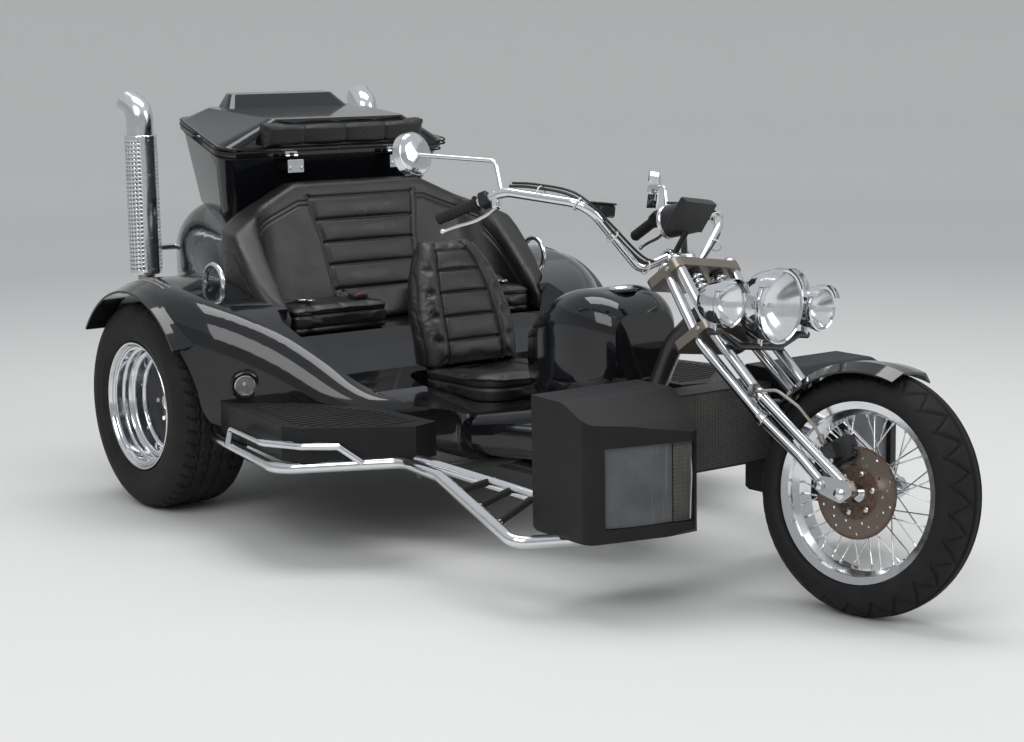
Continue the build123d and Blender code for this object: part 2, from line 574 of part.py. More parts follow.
box_room = loft([
    trunk_outline(-TRUNK_HEIGHT - SEAT_GAP, 62 - SEAT_GAP, TRUNK_DEPTH - 110 + 2 * SEAT_GAP, 385 + SEAT_GAP,
                  300 + SEAT_GAP, 50),
    trunk_outline(-8, 8 - SEAT_GAP, TRUNK_DEPTH + 2 * SEAT_GAP, TRUNK_FRONT_HALF + SEAT_GAP,
                  TRUNK_REAR_HALF + SEAT_GAP, 60)])

LID_RIM = 30
LID_FRONT_HEIGHT = 124
LID_REAR_HEIGHT = 78
LID_TOP_DEPTH = 420
top_slope = degrees(atan2(LID_FRONT_HEIGHT - LID_REAR_HEIGHT, LID_TOP_DEPTH))


def lid_outline(front, depth, front_half, rear_half, corner, below=0):
    """Tapered outline of the lid's top, which falls less than the rim does."""
    points = [(front, -front_half), (front + depth, -rear_half), (front + depth, rear_half), (front, front_half)]
    face = fillet(make_face(Polyline(*points, close=True)).vertices(), corner)
    return trunk_plane * Pos(0, 0, LID_FRONT_HEIGHT - below) * Rot(0, top_slope, 0) * face


rim_flange = extrude(trunk_outline(0, -4, TRUNK_DEPTH + 24, TRUNK_FRONT_HALF + 12, TRUNK_REAR_HALF + 12, 66), LID_RIM)
lid_top = loft([
    trunk_outline(LID_RIM, 2, TRUNK_DEPTH + 10, TRUNK_FRONT_HALF + 2, TRUNK_REAR_HALF + 2, 60),
    lid_outline(8, LID_TOP_DEPTH, 265, 300, 40)])
lid_hollow = loft([
    trunk_outline(-1, 16, TRUNK_DEPTH - 18, TRUNK_FRONT_HALF - 12, TRUNK_REAR_HALF - 12, 50),
    lid_outline(22, LID_TOP_DEPTH - 30, 248, 283, 30, TRUNK_WALL + 8)])
lid_lip = loft([
    lid_outline(330, 120, 260, 240, 30, 8),
    lid_outline(400, 64, 215, 195, 20, -44)])
trunk_lid = rim_flange + lid_top + lid_lip - lid_hollow

# Hinges at the lid's front edge: a pin knuckle on the box, leaves on the lid
HINGE_Y = 205
HINGE_WIDTH = 46
KNUCKLE_R = 9
hinge_axis_x = HINGE_X + 20
knuckle = rod((hinge_axis_x, HINGE_Y - HINGE_WIDTH / 6, HINGE_Z), (hinge_axis_x, HINGE_Y + HINGE_WIDTH / 6, HINGE_Z),
              KNUCKLE_R)
pin = rod((hinge_axis_x, HINGE_Y - HINGE_WIDTH / 2, HINGE_Z), (hinge_axis_x, HINGE_Y + HINGE_WIDTH / 2, HINGE_Z),
          HINGE_PIN_R)
pin_bore = rod((hinge_axis_x, HINGE_Y - HINGE_WIDTH, HINGE_Z), (hinge_axis_x, HINGE_Y + HINGE_WIDTH, HINGE_Z),
               HINGE_PIN_R + 0.05)
leaf_reach = 60
box_leaf = Pos(hinge_axis_x - leaf_reach / 2, HINGE_Y, HINGE_Z - 34) * Box(leaf_reach, HINGE_WIDTH, 30)
box_leaf += Pos(hinge_axis_x - 5, HINGE_Y, HINGE_Z - 14) * Box(14, HINGE_WIDTH / 3, 24)
box_hinge = knuckle + box_leaf - pin_bore
trunk_box = trunk_box + box_hinge + mirror(box_hinge, about=Plane.XZ) - box_inner
lid_leaf = Pos(hinge_axis_x - 14, HINGE_Y, HINGE_Z + 11) * Box(30, HINGE_WIDTH, 8)
lid_knuckles = lid_leaf
for start, end in ((-0.5, -1 / 6), (1 / 6, 0.5)):
    low = HINGE_Y + start * HINGE_WIDTH + (1 if start > 0 else 0)
    high = HINGE_Y + end * HINGE_WIDTH - (1 if end < 0 else 0)
    lid_knuckles += rod((hinge_axis_x, low, HINGE_Z), (hinge_axis_x, high, HINGE_Z), 8)
    lid_knuckles += Pos(hinge_axis_x, (low + high) / 2, HINGE_Z + 6) * Box(10, high - low, 12)
lid_knuckles -= rod((hinge_axis_x, HINGE_Y - HINGE_WIDTH / 6 - 1, HINGE_Z),
                    (hinge_axis_x, HINGE_Y + HINGE_WIDTH / 6 + 1, HINGE_Z), KNUCKLE_R + 1)
lid_hinges = both(lid_knuckles + pin - trunk_lid)

# Leather pad on the front of the lid
pad_plane = trunk_plane * Pos(0, 0, (LID_RIM + LID_FRONT_HEIGHT) / 2 - 2)
lid_pad = pad_plane * Pos(-8, 0, 0) * Box(44, 640, LID_FRONT_HEIGHT - LID_RIM - 12)
lid_pad = (lid_pad - trunk_lid - lid_hollow - lid_hinges).solids().sort_by(SortBy.VOLUME)[-1]

# Frame: two rails under the body, a headstock and the tubes between them
head_low = fork_point(0, 0, LOWER_YOKE_S + YOKE_THICKNESS / 2 + 1)
head_high = fork_point(0, 0, UPPER_YOKE_S - YOKE_THICKNESS / 2 - 1)
head = rod(head_low, head_high, STEM_R + RUN_GAP + HEADSTOCK_WALL)
HEAD_S = (LOWER_YOKE_S + UPPER_YOKE_S) / 2
main_rail = rod((-520, RAIL_Y, RAIL_Z), (1520, RAIL_Y, RAIL_Z), FRAME_R)
backbone = tube([fork_point(-10, 0, HEAD_S), fork_point(-190, 0, HEAD_S), (1560, 0, 440), (1480, 0, RAIL_Z - 6)],
                [90, 120], BACKBONE_R)
frame = head + main_rail + mirror(main_rail, about=Plane.XZ) + backbone
frame -= rod(fork_point(0, 0, LOWER_YOKE_S - 50), fork_point(0, 0, UPPER_YOKE_S + 50), STEM_R + RUN_GAP)
for x in (-500, 230, 640, 1180, 1480):
    frame += rod((x, -RAIL_Y, RAIL_Z), (x, RAIL_Y, RAIL_Z), FRAME_R - 4)
for x in (640, 1120):
    frame += rod((x, -500, RAIL_Z + 30), (x, 500, RAIL_Z + 30), 16)
chassis_frame = frame

# Body shell: hull, hump and tunnel in one, with wells for wheels, seats and trunk, open below
outer = hull(low_rows) + hull(hump_rows) + hull(tunnel_rows)
engine_bay = Pos(-190, 0, 480) * Box(640, 700, 640)
axle_bay = Pos(0, 0, REAR_TYRE_R - 40) * Box(180, 2 * ARCH_INNER_Y + 20, 190)
tunnel_bay = Pos(680, 0, 285) * Box(1900, 2 * RAIL_Y + 70, 120)
body_shell = outer - wheel_well(-1) - wheel_well(1) - engine_bay - tunnel_bay - axle_bay
body_shell = body_shell - bench_well - pilot_well - pilot_back_block(SEAT_GAP) - box_room - chassis_frame

# Tub: slanted walls that fall from the fenders to the knee panel ahead of the cushions and to the foot room
tub_rows = [
    # station, half width at its floor, half width above, floor, top
    (CUSHION_FRONT_X, 470, 640, DECK_Z + 2, 800),
    (470, 480, 660, 520, 780),
    (560, 455, 600, 456, 700),
    (720, 420, 560, 418, 600),
    (1150, 370, 480, 392, 560),
]


def tub_section(x, floor_half, top_half, floor, top):
    """Cross-section of the tub's hollow: a trapezoid, wider above."""
    plane = Plane(origin=(x, 0, 0), x_dir=(0, 1, 0), z_dir=(1, 0, 0))
    corners = [(-floor_half, floor), (-top_half, top), (top_half, top), (floor_half, floor)]
    return make_face(plane * Polyline(*corners, close=True))


body_shell -= loft([tub_section(*row) for row in tub_rows], ruled=True)

# Fender flares: thin lips round the wheel arches
flare_profile = [(ARCH_R, -76), (ARCH_R, 4), (ARCH_R + 7, 4), (ARCH_R + 13, -20), (ARCH_R + 34, -76)]
FLARE_Y = 868
flare_centre = (36, FLARE_Y, REAR_TYRE_R - 6)
flare_face = make_face(Plane(origin=flare_centre, x_dir=(1, 0, 0), z_dir=(0, 0, 1))
                       * Polyline(*flare_profile, close=True))
flare_face = flare_face.rotate(Axis(flare_centre, (0, 1, 0)), -36)
flare = revolve(flare_face, axis=Axis(flare_centre, (0, -1, 0)), revolution_arc=106)
fender_flares = both(flare - body_shell)

# Engine block behind the rear axle, one plain block
engine_block = Pos(-305, 0, RAIL_Z + FRAME_R + SEAT_GAP + 200) * Box(390, 620, 400)

# Fuel tank: rounded block over the backbone
tank_rows = [
    # station, half width, bottom, top, corner radius
    (1120, 96, 470, 640, 45),
    (1230, 150, 416, 712, 80),
    (1350, 174, 424, 762, 95),
    (1470, 158, 448, 756, 88),
    (1545, 110, 520, 705, 58),
]
fuel_tank = hull(tank_rows) - chassis_frame - body_shell

# Radiator housing: two pods joined by a bridge behind the front wheel
WINDOW_WIDTH = 255
WINDOW_HEIGHT = 210
WINDOW_DEPTH = 116
CORE_INSET = 97
CORE_THICKNESS = 28
PLATE_WIDTH = 170
PLATE_THICKNESS = 4
POD_REAR_X = 1745
BRIDGE_Z = 410
BRIDGE_LENGTH = 105
BRIDGE_HEIGHT = 220
POD_TOP_Z = 560
POD_BOTTOM_Z = 200
pod_plan = [(POD_REAR_X, 565), (1985, 575), (2062, 262), (1900, 200), (POD_REAR_X, 200)]
pod_face = make_face(Plane(origin=(0, 0, POD_BOTTOM_Z)) * Polyline(*pod_plan, close=True))
pod_face = fillet(pod_face.vertices().sort_by(Axis.X)[-2:], 34)
pod = extrude(pod_face, POD_TOP_Z - POD_BOTTOM_Z, dir=(0, 0, 1))
pod_side = make_face(Plane.XZ * Polyline(
    (1650, 562), (1880, 556), (2010, 500), (2100, 440), (2100, 250), (2040, POD_BOTTOM_Z), (1760, POD_BOTTOM_Z),
    (1650, 260), close=True))
pod = pod & extrude(fillet(pod_side.vertices().group_by(Axis.Z)[-2], 60), 800, both=True)
window_plane = Plane(origin=(2090, 418, 340), x_dir=(-77, 313, 0), z_dir=(1, 0.246, 0))
pod_recess = extrude(window_plane * Rectangle(WINDOW_WIDTH, WINDOW_HEIGHT), -WINDOW_DEPTH)
pod -= pod_recess
bridge = Pos(POD_REAR_X + BRIDGE_LENGTH / 2, 0, BRIDGE_Z) * Box(BRIDGE_LENGTH, 2 * pod_plan[-1][1] + 2, BRIDGE_HEIGHT)
radiator_housing = pod + mirror(pod, about=Plane.XZ) + bridge
core_plane = window_plane.offset(-CORE_INSET)
core_face = Rectangle(WINDOW_WIDTH - 2 * SEAT_GAP, WINDOW_HEIGHT - 2 * SEAT_GAP)
core = extrude(core_plane * core_face, CORE_THICKNESS / 2, both=True) & pod_recess
radiator_cores = both(core)
plate_face = Pos(-42, 0, CORE_THICKNESS / 2 + 1) * Rectangle(PLATE_WIDTH, WINDOW_HEIGHT - 2 * SEAT_GAP)
plate = extrude(core_plane * plate_face, PLATE_THICKNESS) & pod_recess
blanking_plates = both(plate)

# Step boxes beside the body, and chrome rails round them that run on as ladders
step_plan = [(430, 560), (430, 760), (520, 782), (940, 846), (1010, 820), (1200, 560), (1170, 470), (900, 470),
             (640, 560)]
step = extrude(make_face(Plane(origin=(0, 0, STEP_TOP_Z - STEP_DEPTH)) * Polyline(*step_plan, close=True)),
               STEP_DEPTH)
step -= hull(low_rows, grow=SEAT_GAP)
step_boxes = both(step.solids().sort_by(SortBy.VOLUME)[-1])

rail_points = [(420, 775, 282), (945, 868, 280), (1190, 600, 300), (1380, 610, 292), (1800, 668, 190),
               (1880, 500, 190)]
rail = tube(rail_points, [110, 70, 60, 50], RAIL_R)
inner_rail = rod((1150, 560, 306), (1765, 431, 235), RAIL_R)
loop = tube([(560, 812, 290), (640, 842, 352), (900, 884, 350), (1080, 748, 350), (1120, 690, 300)],
            [40, 60, 30], LOOP_R)
side_rail = rail + inner_rail + loop
for share in (0.25, 0.5, 0.75):
    outer_at = (1380 + share * 420, 610 + share * 58, 292 - share * 102)
    inner_at = (1380 + share * 310, 486 - share * 46, 286 - share * 46)
    side_rail += rod(inner_at, outer_at, RUNG_R)
side_rail = (side_rail - radiator_housing - step_boxes).solids().sort_by(SortBy.VOLUME)[-1]
side_rail_left = side_rail
side_rail_right = mirror(side_rail, about=Plane.XZ)

# Exhaust stacks: shield, inner pipe and a tip that curves back
stack = rod((STACK_X, STACK_Y, STACK_BOTTOM_Z), (STACK_X, STACK_Y, STACK_SHIELD_TOP_Z), STACK_R)
tip_points = [(STACK_X, STACK_Y, STACK_SHIELD_TOP_Z), (STACK_X, STACK_Y, 1262), (STACK_X - 60, STACK_Y + 14, 1290)]
tip_run = Vector(*tip_points[2]) - Vector(*tip_points[1])
bore_start = Vector(*tip_points[2]) - tip_run.normalized() * TIP_BORE_DEPTH
tip_bore = rod(bore_start, bore_start + tip_run, STACK_TIP_R - TIP_WALL)
tip = tube(tip_points, STACK_TIP_R + 4, STACK_TIP_R) - tip_bore
foot = tube([(STACK_X, STACK_Y, STACK_BOTTOM_Z + 10), (STACK_X, STACK_Y, 330), (STACK_X, 250, 330), (-480, 250, 330)],
            [70, 70], 30)
strap_end_x = HUMP_REAR_X - SEAT_GAP
strap = tube([(STACK_X, STACK_Y, 780), (STACK_X, 340, 780), (strap_end_x, 340, 780)], [24], 12)
exhaust_stacks = both((stack + tip + foot + strap) - engine_block)

# Grab handles: chrome ovals beside the bench
handle = Pos(200, 640, 735) * Rot(90, 0, 0) * (Torus(58, 9))
grab_handles = both((handle - body_shell).solids().sort_by(SortBy.VOLUME)[-1])

# Round marker lamps on the fronts of the fenders, tail lamps behind
marker = rod((470, -700, 458), (500, -712, 452), MARKER_R)
marker_lamps = both(mirror(marker - body_shell, about=Plane.XZ))
tail = rod((-530, 270, 800), (-580, 270, 800), 42)
tail_lamps = both(tail - body_shell)

# Gear lever between the seats and the tank
gear_lever = rod((1080, 150, 340), (1110, 150, 580), 8) + Pos(1112, 150, 590) * Sphere(22)
gear_lever = (gear_lever - body_shell).solids().sort_by(Axis.Z)[-1]

parts = {
    "chassis_frame": chassis_frame, "engine_block": engine_block, "rear_axle": rear_axle,
    "body_shell": body_shell, "fender_flares": fender_flares, "trunk_box": trunk_box,
    "bench_back": bench_back, "bench_cushions": bench_cushions, "pilot_back": pilot_back,
    "pilot_cushion": pilot_cushion, "fuel_tank": fuel_tank, "radiator_housing": radiator_housing,
    "radiator_cores": radiator_cores, "blanking_plates": blanking_plates, "step_boxes": step_boxes,
    "side_rail_right": side_rail_right, "side_rail_left": side_rail_left, "exhaust_stacks": exhaust_stacks,
    "grab_handles": grab_handles, "marker_lamps": marker_lamps, "tail_lamps": tail_lamps,
    "gear_lever": gear_lever, "trunk_lid": trunk_lid, "lid_pad": lid_pad, "lid_hinges": lid_hinges,
    "fork_yokes": fork_yokes, "fork_rear_legs": fork_rear_legs, "fork_front_legs": fork_front_legs,
    "fork_springs": fork_springs, "handlebar": handlebar, "hand_grips": hand_grips, "mirrors": mirrors,
    "gauge_pod": gauge_pod, "device_holder": device_holder, "headlamp": headlamp,
    "auxiliary_lamps": auxiliary_lamps, "lamp_bracket": lamp_bracket, "front_fender": front_fender,
    "brake_caliper": brake_caliper, "brake_hose": brake_hose, "front_axle": front_axle,
    "front_tyre": front_tyre, "front_wheel_rim": front_wheel_rim, "brake_disc": brake_disc,
    "rear_tyre_right": rear_tyre_right, "rear_rim_right": rear_rim_right,
    "rear_tyre_left": rear_tyre_left, "rear_rim_left": rear_rim_left,
}

# Set the vehicle down with the origin on the ground under its middle
boxes = [shape.bounding_box() for shape in parts.values()]
middle_x = (min(box.min.X for box in boxes) + max(box.max.X for box in boxes)) / 2
middle_y = (min(box.min.Y for box in boxes) + max(box.max.Y for box in boxes)) / 2
ground_z = min(box.min.Z for box in boxes)
print("origin is at", middle_x, middle_y, ground_z)
os.makedirs("parts", exist_ok=True)
for name, shape in parts.items():
    export_step(Pos(-middle_x, -middle_y, -ground_z) * shape, f"parts/{name}.step")
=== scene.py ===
import math
import bmesh
import bpy
import numpy as np
from bpy.props import FloatProperty, FloatVectorProperty, PointerProperty
from mathutils import Matrix, Vector


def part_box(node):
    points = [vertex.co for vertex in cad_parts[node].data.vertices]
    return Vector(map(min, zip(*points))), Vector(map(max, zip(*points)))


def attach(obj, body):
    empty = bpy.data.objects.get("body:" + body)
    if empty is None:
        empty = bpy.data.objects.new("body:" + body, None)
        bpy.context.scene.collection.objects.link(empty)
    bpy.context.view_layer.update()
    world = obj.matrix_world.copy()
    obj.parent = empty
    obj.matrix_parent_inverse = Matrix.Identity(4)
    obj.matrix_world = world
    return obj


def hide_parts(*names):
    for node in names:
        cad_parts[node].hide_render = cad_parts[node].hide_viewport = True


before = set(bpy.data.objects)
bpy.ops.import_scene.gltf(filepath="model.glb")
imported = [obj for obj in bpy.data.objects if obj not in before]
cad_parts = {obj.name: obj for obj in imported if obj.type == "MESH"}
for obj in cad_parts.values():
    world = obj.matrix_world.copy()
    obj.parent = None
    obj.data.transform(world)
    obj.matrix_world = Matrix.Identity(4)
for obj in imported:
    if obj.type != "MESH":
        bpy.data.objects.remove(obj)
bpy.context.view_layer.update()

bl_info = {
    "name": "Motorized trike looks",
    "version": (1, 0, 0),
    "blender": (4, 5, 0),
    "location": "View3D > Sidebar > Trike",
    "description": "Surfaces, finishes and stage for a three-wheeled road vehicle",
    "category": "Object",
}

# Places in the source are millimetres from the ground under the rear axle, X forwards, Y to the left and Z up;
# here they are metres in the row frame. OFFSET is the front axle's lead over the raked steering axis, CROWN_R
# the roundness of the front tyre's crown, and UPPER_S and LOWER_S are the yokes' places along the axis.
LOW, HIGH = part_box("rear_tyre_left")
REAR_X = (LOW.x + HIGH.x) / 2
WHEELBASE = 2375.0
REAR_R = 336.0
FRONT_R = 318.0
CROWN_R = 80.0
RAKE = math.radians(39)
STEER = math.radians(12)
OFFSET = 160.0
LEG_Y = 118.0
UPPER_S = 785.0
LOWER_S = 592.0
CAMBER = math.asin(math.sin(STEER) * math.sin(RAKE))
AXLE_Z = (FRONT_R - CROWN_R) * math.cos(CAMBER) + CROWN_R + OFFSET * (1 - math.cos(STEER)) * math.sin(RAKE)
SIDES = ((-1, "right"), (1, "left"))
FOOT = np.array([WHEELBASE - OFFSET * math.cos(RAKE), 0.0, AXLE_Z - OFFSET * math.sin(RAKE)])
AXIS = np.array([-math.sin(RAKE), 0.0, math.cos(RAKE)])


def placed(points):
    """Vehicle millimetres to row-frame metres: x/1000 + rear axle's x, y/1000, z/1000."""
    return np.asarray(points, float) / 1000 + np.array([REAR_X, 0, 0])


def steered(points):
    """Straight-ahead fork points turned about the raked axis: v cos t + (a x v) sin t + a (a.v)(1 - cos t)."""
    v = np.asarray(points, float) - FOOT
    along = (v @ AXIS)[..., None] * AXIS
    return FOOT + v * math.cos(STEER) + np.cross(AXIS, v) * math.sin(STEER) + along * (1 - math.cos(STEER))


def fork_point(n, y, s):
    """Point n ahead of the steering axis, y to the left and s up along it, before steering."""
    return np.array([FOOT[0] + n * math.cos(RAKE) - s * math.sin(RAKE), y,
                     FOOT[2] + n * math.sin(RAKE) + s * math.cos(RAKE)])


def unit(vector):
    """The same direction at length 1."""
    vector = np.asarray(vector, float)
    return vector / np.linalg.norm(vector, axis=-1, keepdims=True)


def straight(points):
    """Leaves points as they are: pieces that don't steer."""
    return np.asarray(points, float)


class Builder:
    """Collects grids and loose faces as arrays and makes one mesh of them."""

    def __init__(self, turn=straight):
        self.turn = turn
        self.verts = []
        self.faces = []
        self.slots = []
        self.count = 0

    def add(self, points, faces, slot=0):
        """Adds vertices and faces that count from 0; slot is the material's place on the piece."""
        points = np.asarray(points, float).reshape(-1, 3)
        self.verts.append(points)
        self.faces += [tuple(int(i) + self.count for i in f) for f in faces]
        self.slots += [slot] * len(faces)
        self.count += len(points)

    def grid(self, points, wrap_u=False, wrap_v=False, cap_start=False, cap_end=False, flip=False,
             slot=0):
        """Quads over a grid of points (rows u, columns v); wraps and end caps close it."""
        points = np.asarray(points, float)
        rows, cols = points.shape[:2]
        u = np.arange(rows if wrap_u else rows - 1)
        v = np.arange(cols if wrap_v else cols - 1)
        a, b = np.meshgrid(u, v, indexing="ij")
        a1, b1 = (a + 1) % rows, (b + 1) % cols
        quads = np.stack([a * cols + b, a1 * cols + b, a1 * cols + b1, a * cols + b1], -1).reshape(-1, 4)
        if flip:
            quads = quads[:, ::-1]
        faces = [tuple(q) for q in quads]
        first = tuple(range(cols))
        last = tuple(range((rows - 1) * cols, rows * cols))
        if cap_start:
            faces.append(first if not flip else first[::-1])
        if cap_end:
            faces.append(last[::-1] if not flip else last)
        self.add(points.reshape(-1, 3), faces, slot)

    def lathe(self, profile, centre, axis, steps=64, arc=(0, 360), start=(0, 0, 1), slot=0, closed=False):
        """Profile (radius r, place h) turned about an axis: centre + axis h + (e1 cos t + e2 sin t) r."""
        r, h = np.asarray(profile, float).T
        axis = unit(axis)
        e1 = unit(np.asarray(start, float) - axis * np.dot(start, axis))
        e2 = np.cross(axis, e1)
        full = abs(arc[1] - arc[0]) >= 359.9
        t = np.radians(np.linspace(arc[0], arc[1], steps, endpoint=not full))
        ring = np.cos(t)[:, None] * e1 + np.sin(t)[:, None] * e2
        points = np.asarray(centre, float) + h[None, :, None] * axis + r[None, :, None] * ring[:, None, :]
        self.grid(points, wrap_u=full, wrap_v=closed, slot=slot)

    def pipe(self, path, radius, sides=16, caps=True, slot=0):
        """Circle of radius r(s) carried along a path with the least turning: p + r (n cos t + b sin t)."""
        path = np.asarray(path, float)
        radius = np.broadcast_to(np.asarray(radius, float), (len(path),))
        tangent = unit(np.gradient(path, axis=0))
        normal = np.cross(tangent[0], (0, 0, 1.0))
        if np.linalg.norm(normal) < 1e-3:
            normal = np.cross(tangent[0], (0, 1.0, 0))
        frames = []
        for t in tangent:
            normal = unit(normal - t * np.dot(normal, t))
            frames.append(normal)
        n = np.array(frames)
        b = np.cross(tangent, n)
        a = np.linspace(0, 2 * math.pi, sides, endpoint=False)[:, None]
        rings = path[:, None] + radius[:, None, None] * (n[:, None] * np.cos(a) + b[:, None] * np.sin(a))
        self.grid(rings, wrap_v=True, cap_start=caps, cap_end=caps, flip=True, slot=slot)

    def sphere(self, centre, radii, rings=12, sides=20, slot=0):
        """Ellipsoid: centre + radii (sin p cos t, sin p sin t, cos p), its poles closed by fans."""
        p = np.linspace(0, math.pi, rings + 1)[1:-1]
        t = np.linspace(0, 2 * math.pi, sides, endpoint=False)
        radii = np.broadcast_to(np.asarray(radii, float), (3,))
        body = np.stack([np.outer(np.sin(p), np.cos(t)), np.outer(np.sin(p), np.sin(t)),
                         np.outer(np.cos(p), np.ones(sides))], -1) * radii + np.asarray(centre, float)
        self.grid(body, wrap_v=True, cap_start=True, cap_end=True, slot=slot)

    def box(self, centre, size, basis=None, bevel=2.0, slot=0):
        """Box with chamfered edges: the corners of a cube pulled in by the bevel on each pair of axes."""
        half = np.asarray(size, float) / 2
        basis = np.eye(3) if basis is None else np.asarray(basis, float)
        bevel = min(bevel, 0.45 * half.min() * 2)
        signs = np.array([(x, y, z) for x in (-1, 1) for y in (-1, 1) for z in (-1, 1)], float)
        points = []
        for sign in signs:
            for k in range(3):
                inset = np.full(3, bevel)
                inset[k] = 0
                points.append(sign * (half - inset))
        points = np.array(points)
        self.add(points @ basis + np.asarray(centre, float), convex_faces(points), slot)

    def make(self, name, body, materials, smooth=35.0):
        """Turns, places and joins what was added, as one object that rides on a CAD body."""
        points = placed(self.turn(np.concatenate(self.verts)))
        mesh = bpy.data.meshes.new(name)
        mesh.from_pydata(points.tolist(), [], self.faces)
        mesh.polygons.foreach_set("material_index", self.slots)
        for material in materials:
            mesh.materials.append(material)
        mesh.polygons.foreach_set("use_smooth", [True] * len(mesh.polygons))
        mesh.update()
        mesh.validate()
        obj = bpy.data.objects.new(name, mesh)
        bpy.context.scene.collection.objects.link(obj)
        mesh.set_sharp_from_angle(angle=math.radians(smooth))
        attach(obj, body)
        return obj


def convex_faces(points):
    """Faces of a convex solid: every plane through three points with all others on one side."""
    work = bmesh.new()
    for p in points:
        work.verts.new(p)
    bmesh.ops.convex_hull(work, input=list(work.verts))
    work.verts.index_update()
    faces = [tuple(v.index for v in f.verts) for f in work.faces]
    work.free()
    return faces


def rounded_path(points, bend, steps=8):
    """Straight runs joined by arcs (1-t)^2 a + 2t(1-t) corner + t^2 b, with a and b a bend away from it."""
    points = [np.asarray(p, float) for p in points]
    out = [points[0]]
    for i in range(1, len(points) - 1):
        back = points[i - 1] - points[i]
        ahead = points[i + 1] - points[i]
        r = min(bend, 0.45 * np.linalg.norm(back), 0.45 * np.linalg.norm(ahead))
        a = points[i] + unit(back) * r
        b = points[i] + unit(ahead) * r
        t = np.linspace(0, 1, steps)[:, None]
        out += list((1 - t) ** 2 * a + 2 * t * (1 - t) * points[i] + t ** 2 * b)
    out.append(points[-1])
    return np.array(out)


def smooth_path(points, steps=10):
    """Curve through points: Catmull-Rom, p(t) from the four nearest points."""
    p = np.asarray(points, float)
    p = np.concatenate([[2 * p[0] - p[1]], p, [2 * p[-1] - p[-2]]])
    t = np.linspace(0, 1, steps, endpoint=False)[:, None]
    runs = []
    for i in range(1, len(p) - 2):
        a, b, c, d = p[i - 1], p[i], p[i + 1], p[i + 2]
        runs.append(0.5 * (2 * b + (c - a) * t + (2 * a - 5 * b + 4 * c - d) * t ** 2
                           + (3 * b - a - 3 * c + d) * t ** 3))
    return np.concatenate(runs + [p[-2:-1]])


def mirrored(points):
    """The same points on the other side: y becomes -y."""
    return np.asarray(points, float) * np.array([1, -1, 1])


class Field:
    """One node socket as a value: Python's operators on it add Math nodes."""

    def __init__(self, finish, socket):
        self.finish = finish
        self.socket = socket

    def calc(self, operation, *others):
        """A Math node with this socket first."""
        return self.finish.maths(operation, self, *others)

    def __add__(self, other):
        return self.calc("ADD", other)

    __radd__ = __add__

    def __mul__(self, other):
        return self.calc("MULTIPLY", other)

    __rmul__ = __mul__

    def __sub__(self, other):
        return self.calc("SUBTRACT", other)

    def __rsub__(self, other):
        return self.finish.maths("SUBTRACT", other, self)

    def __truediv__(self, other):
        return self.calc("DIVIDE", other)

    def __pow__(self, other):
        return self.calc("POWER", other)

    def __gt__(self, other):
        return self.calc("GREATER_THAN", other)

    def __lt__(self, other):
        return self.calc("LESS_THAN", other)


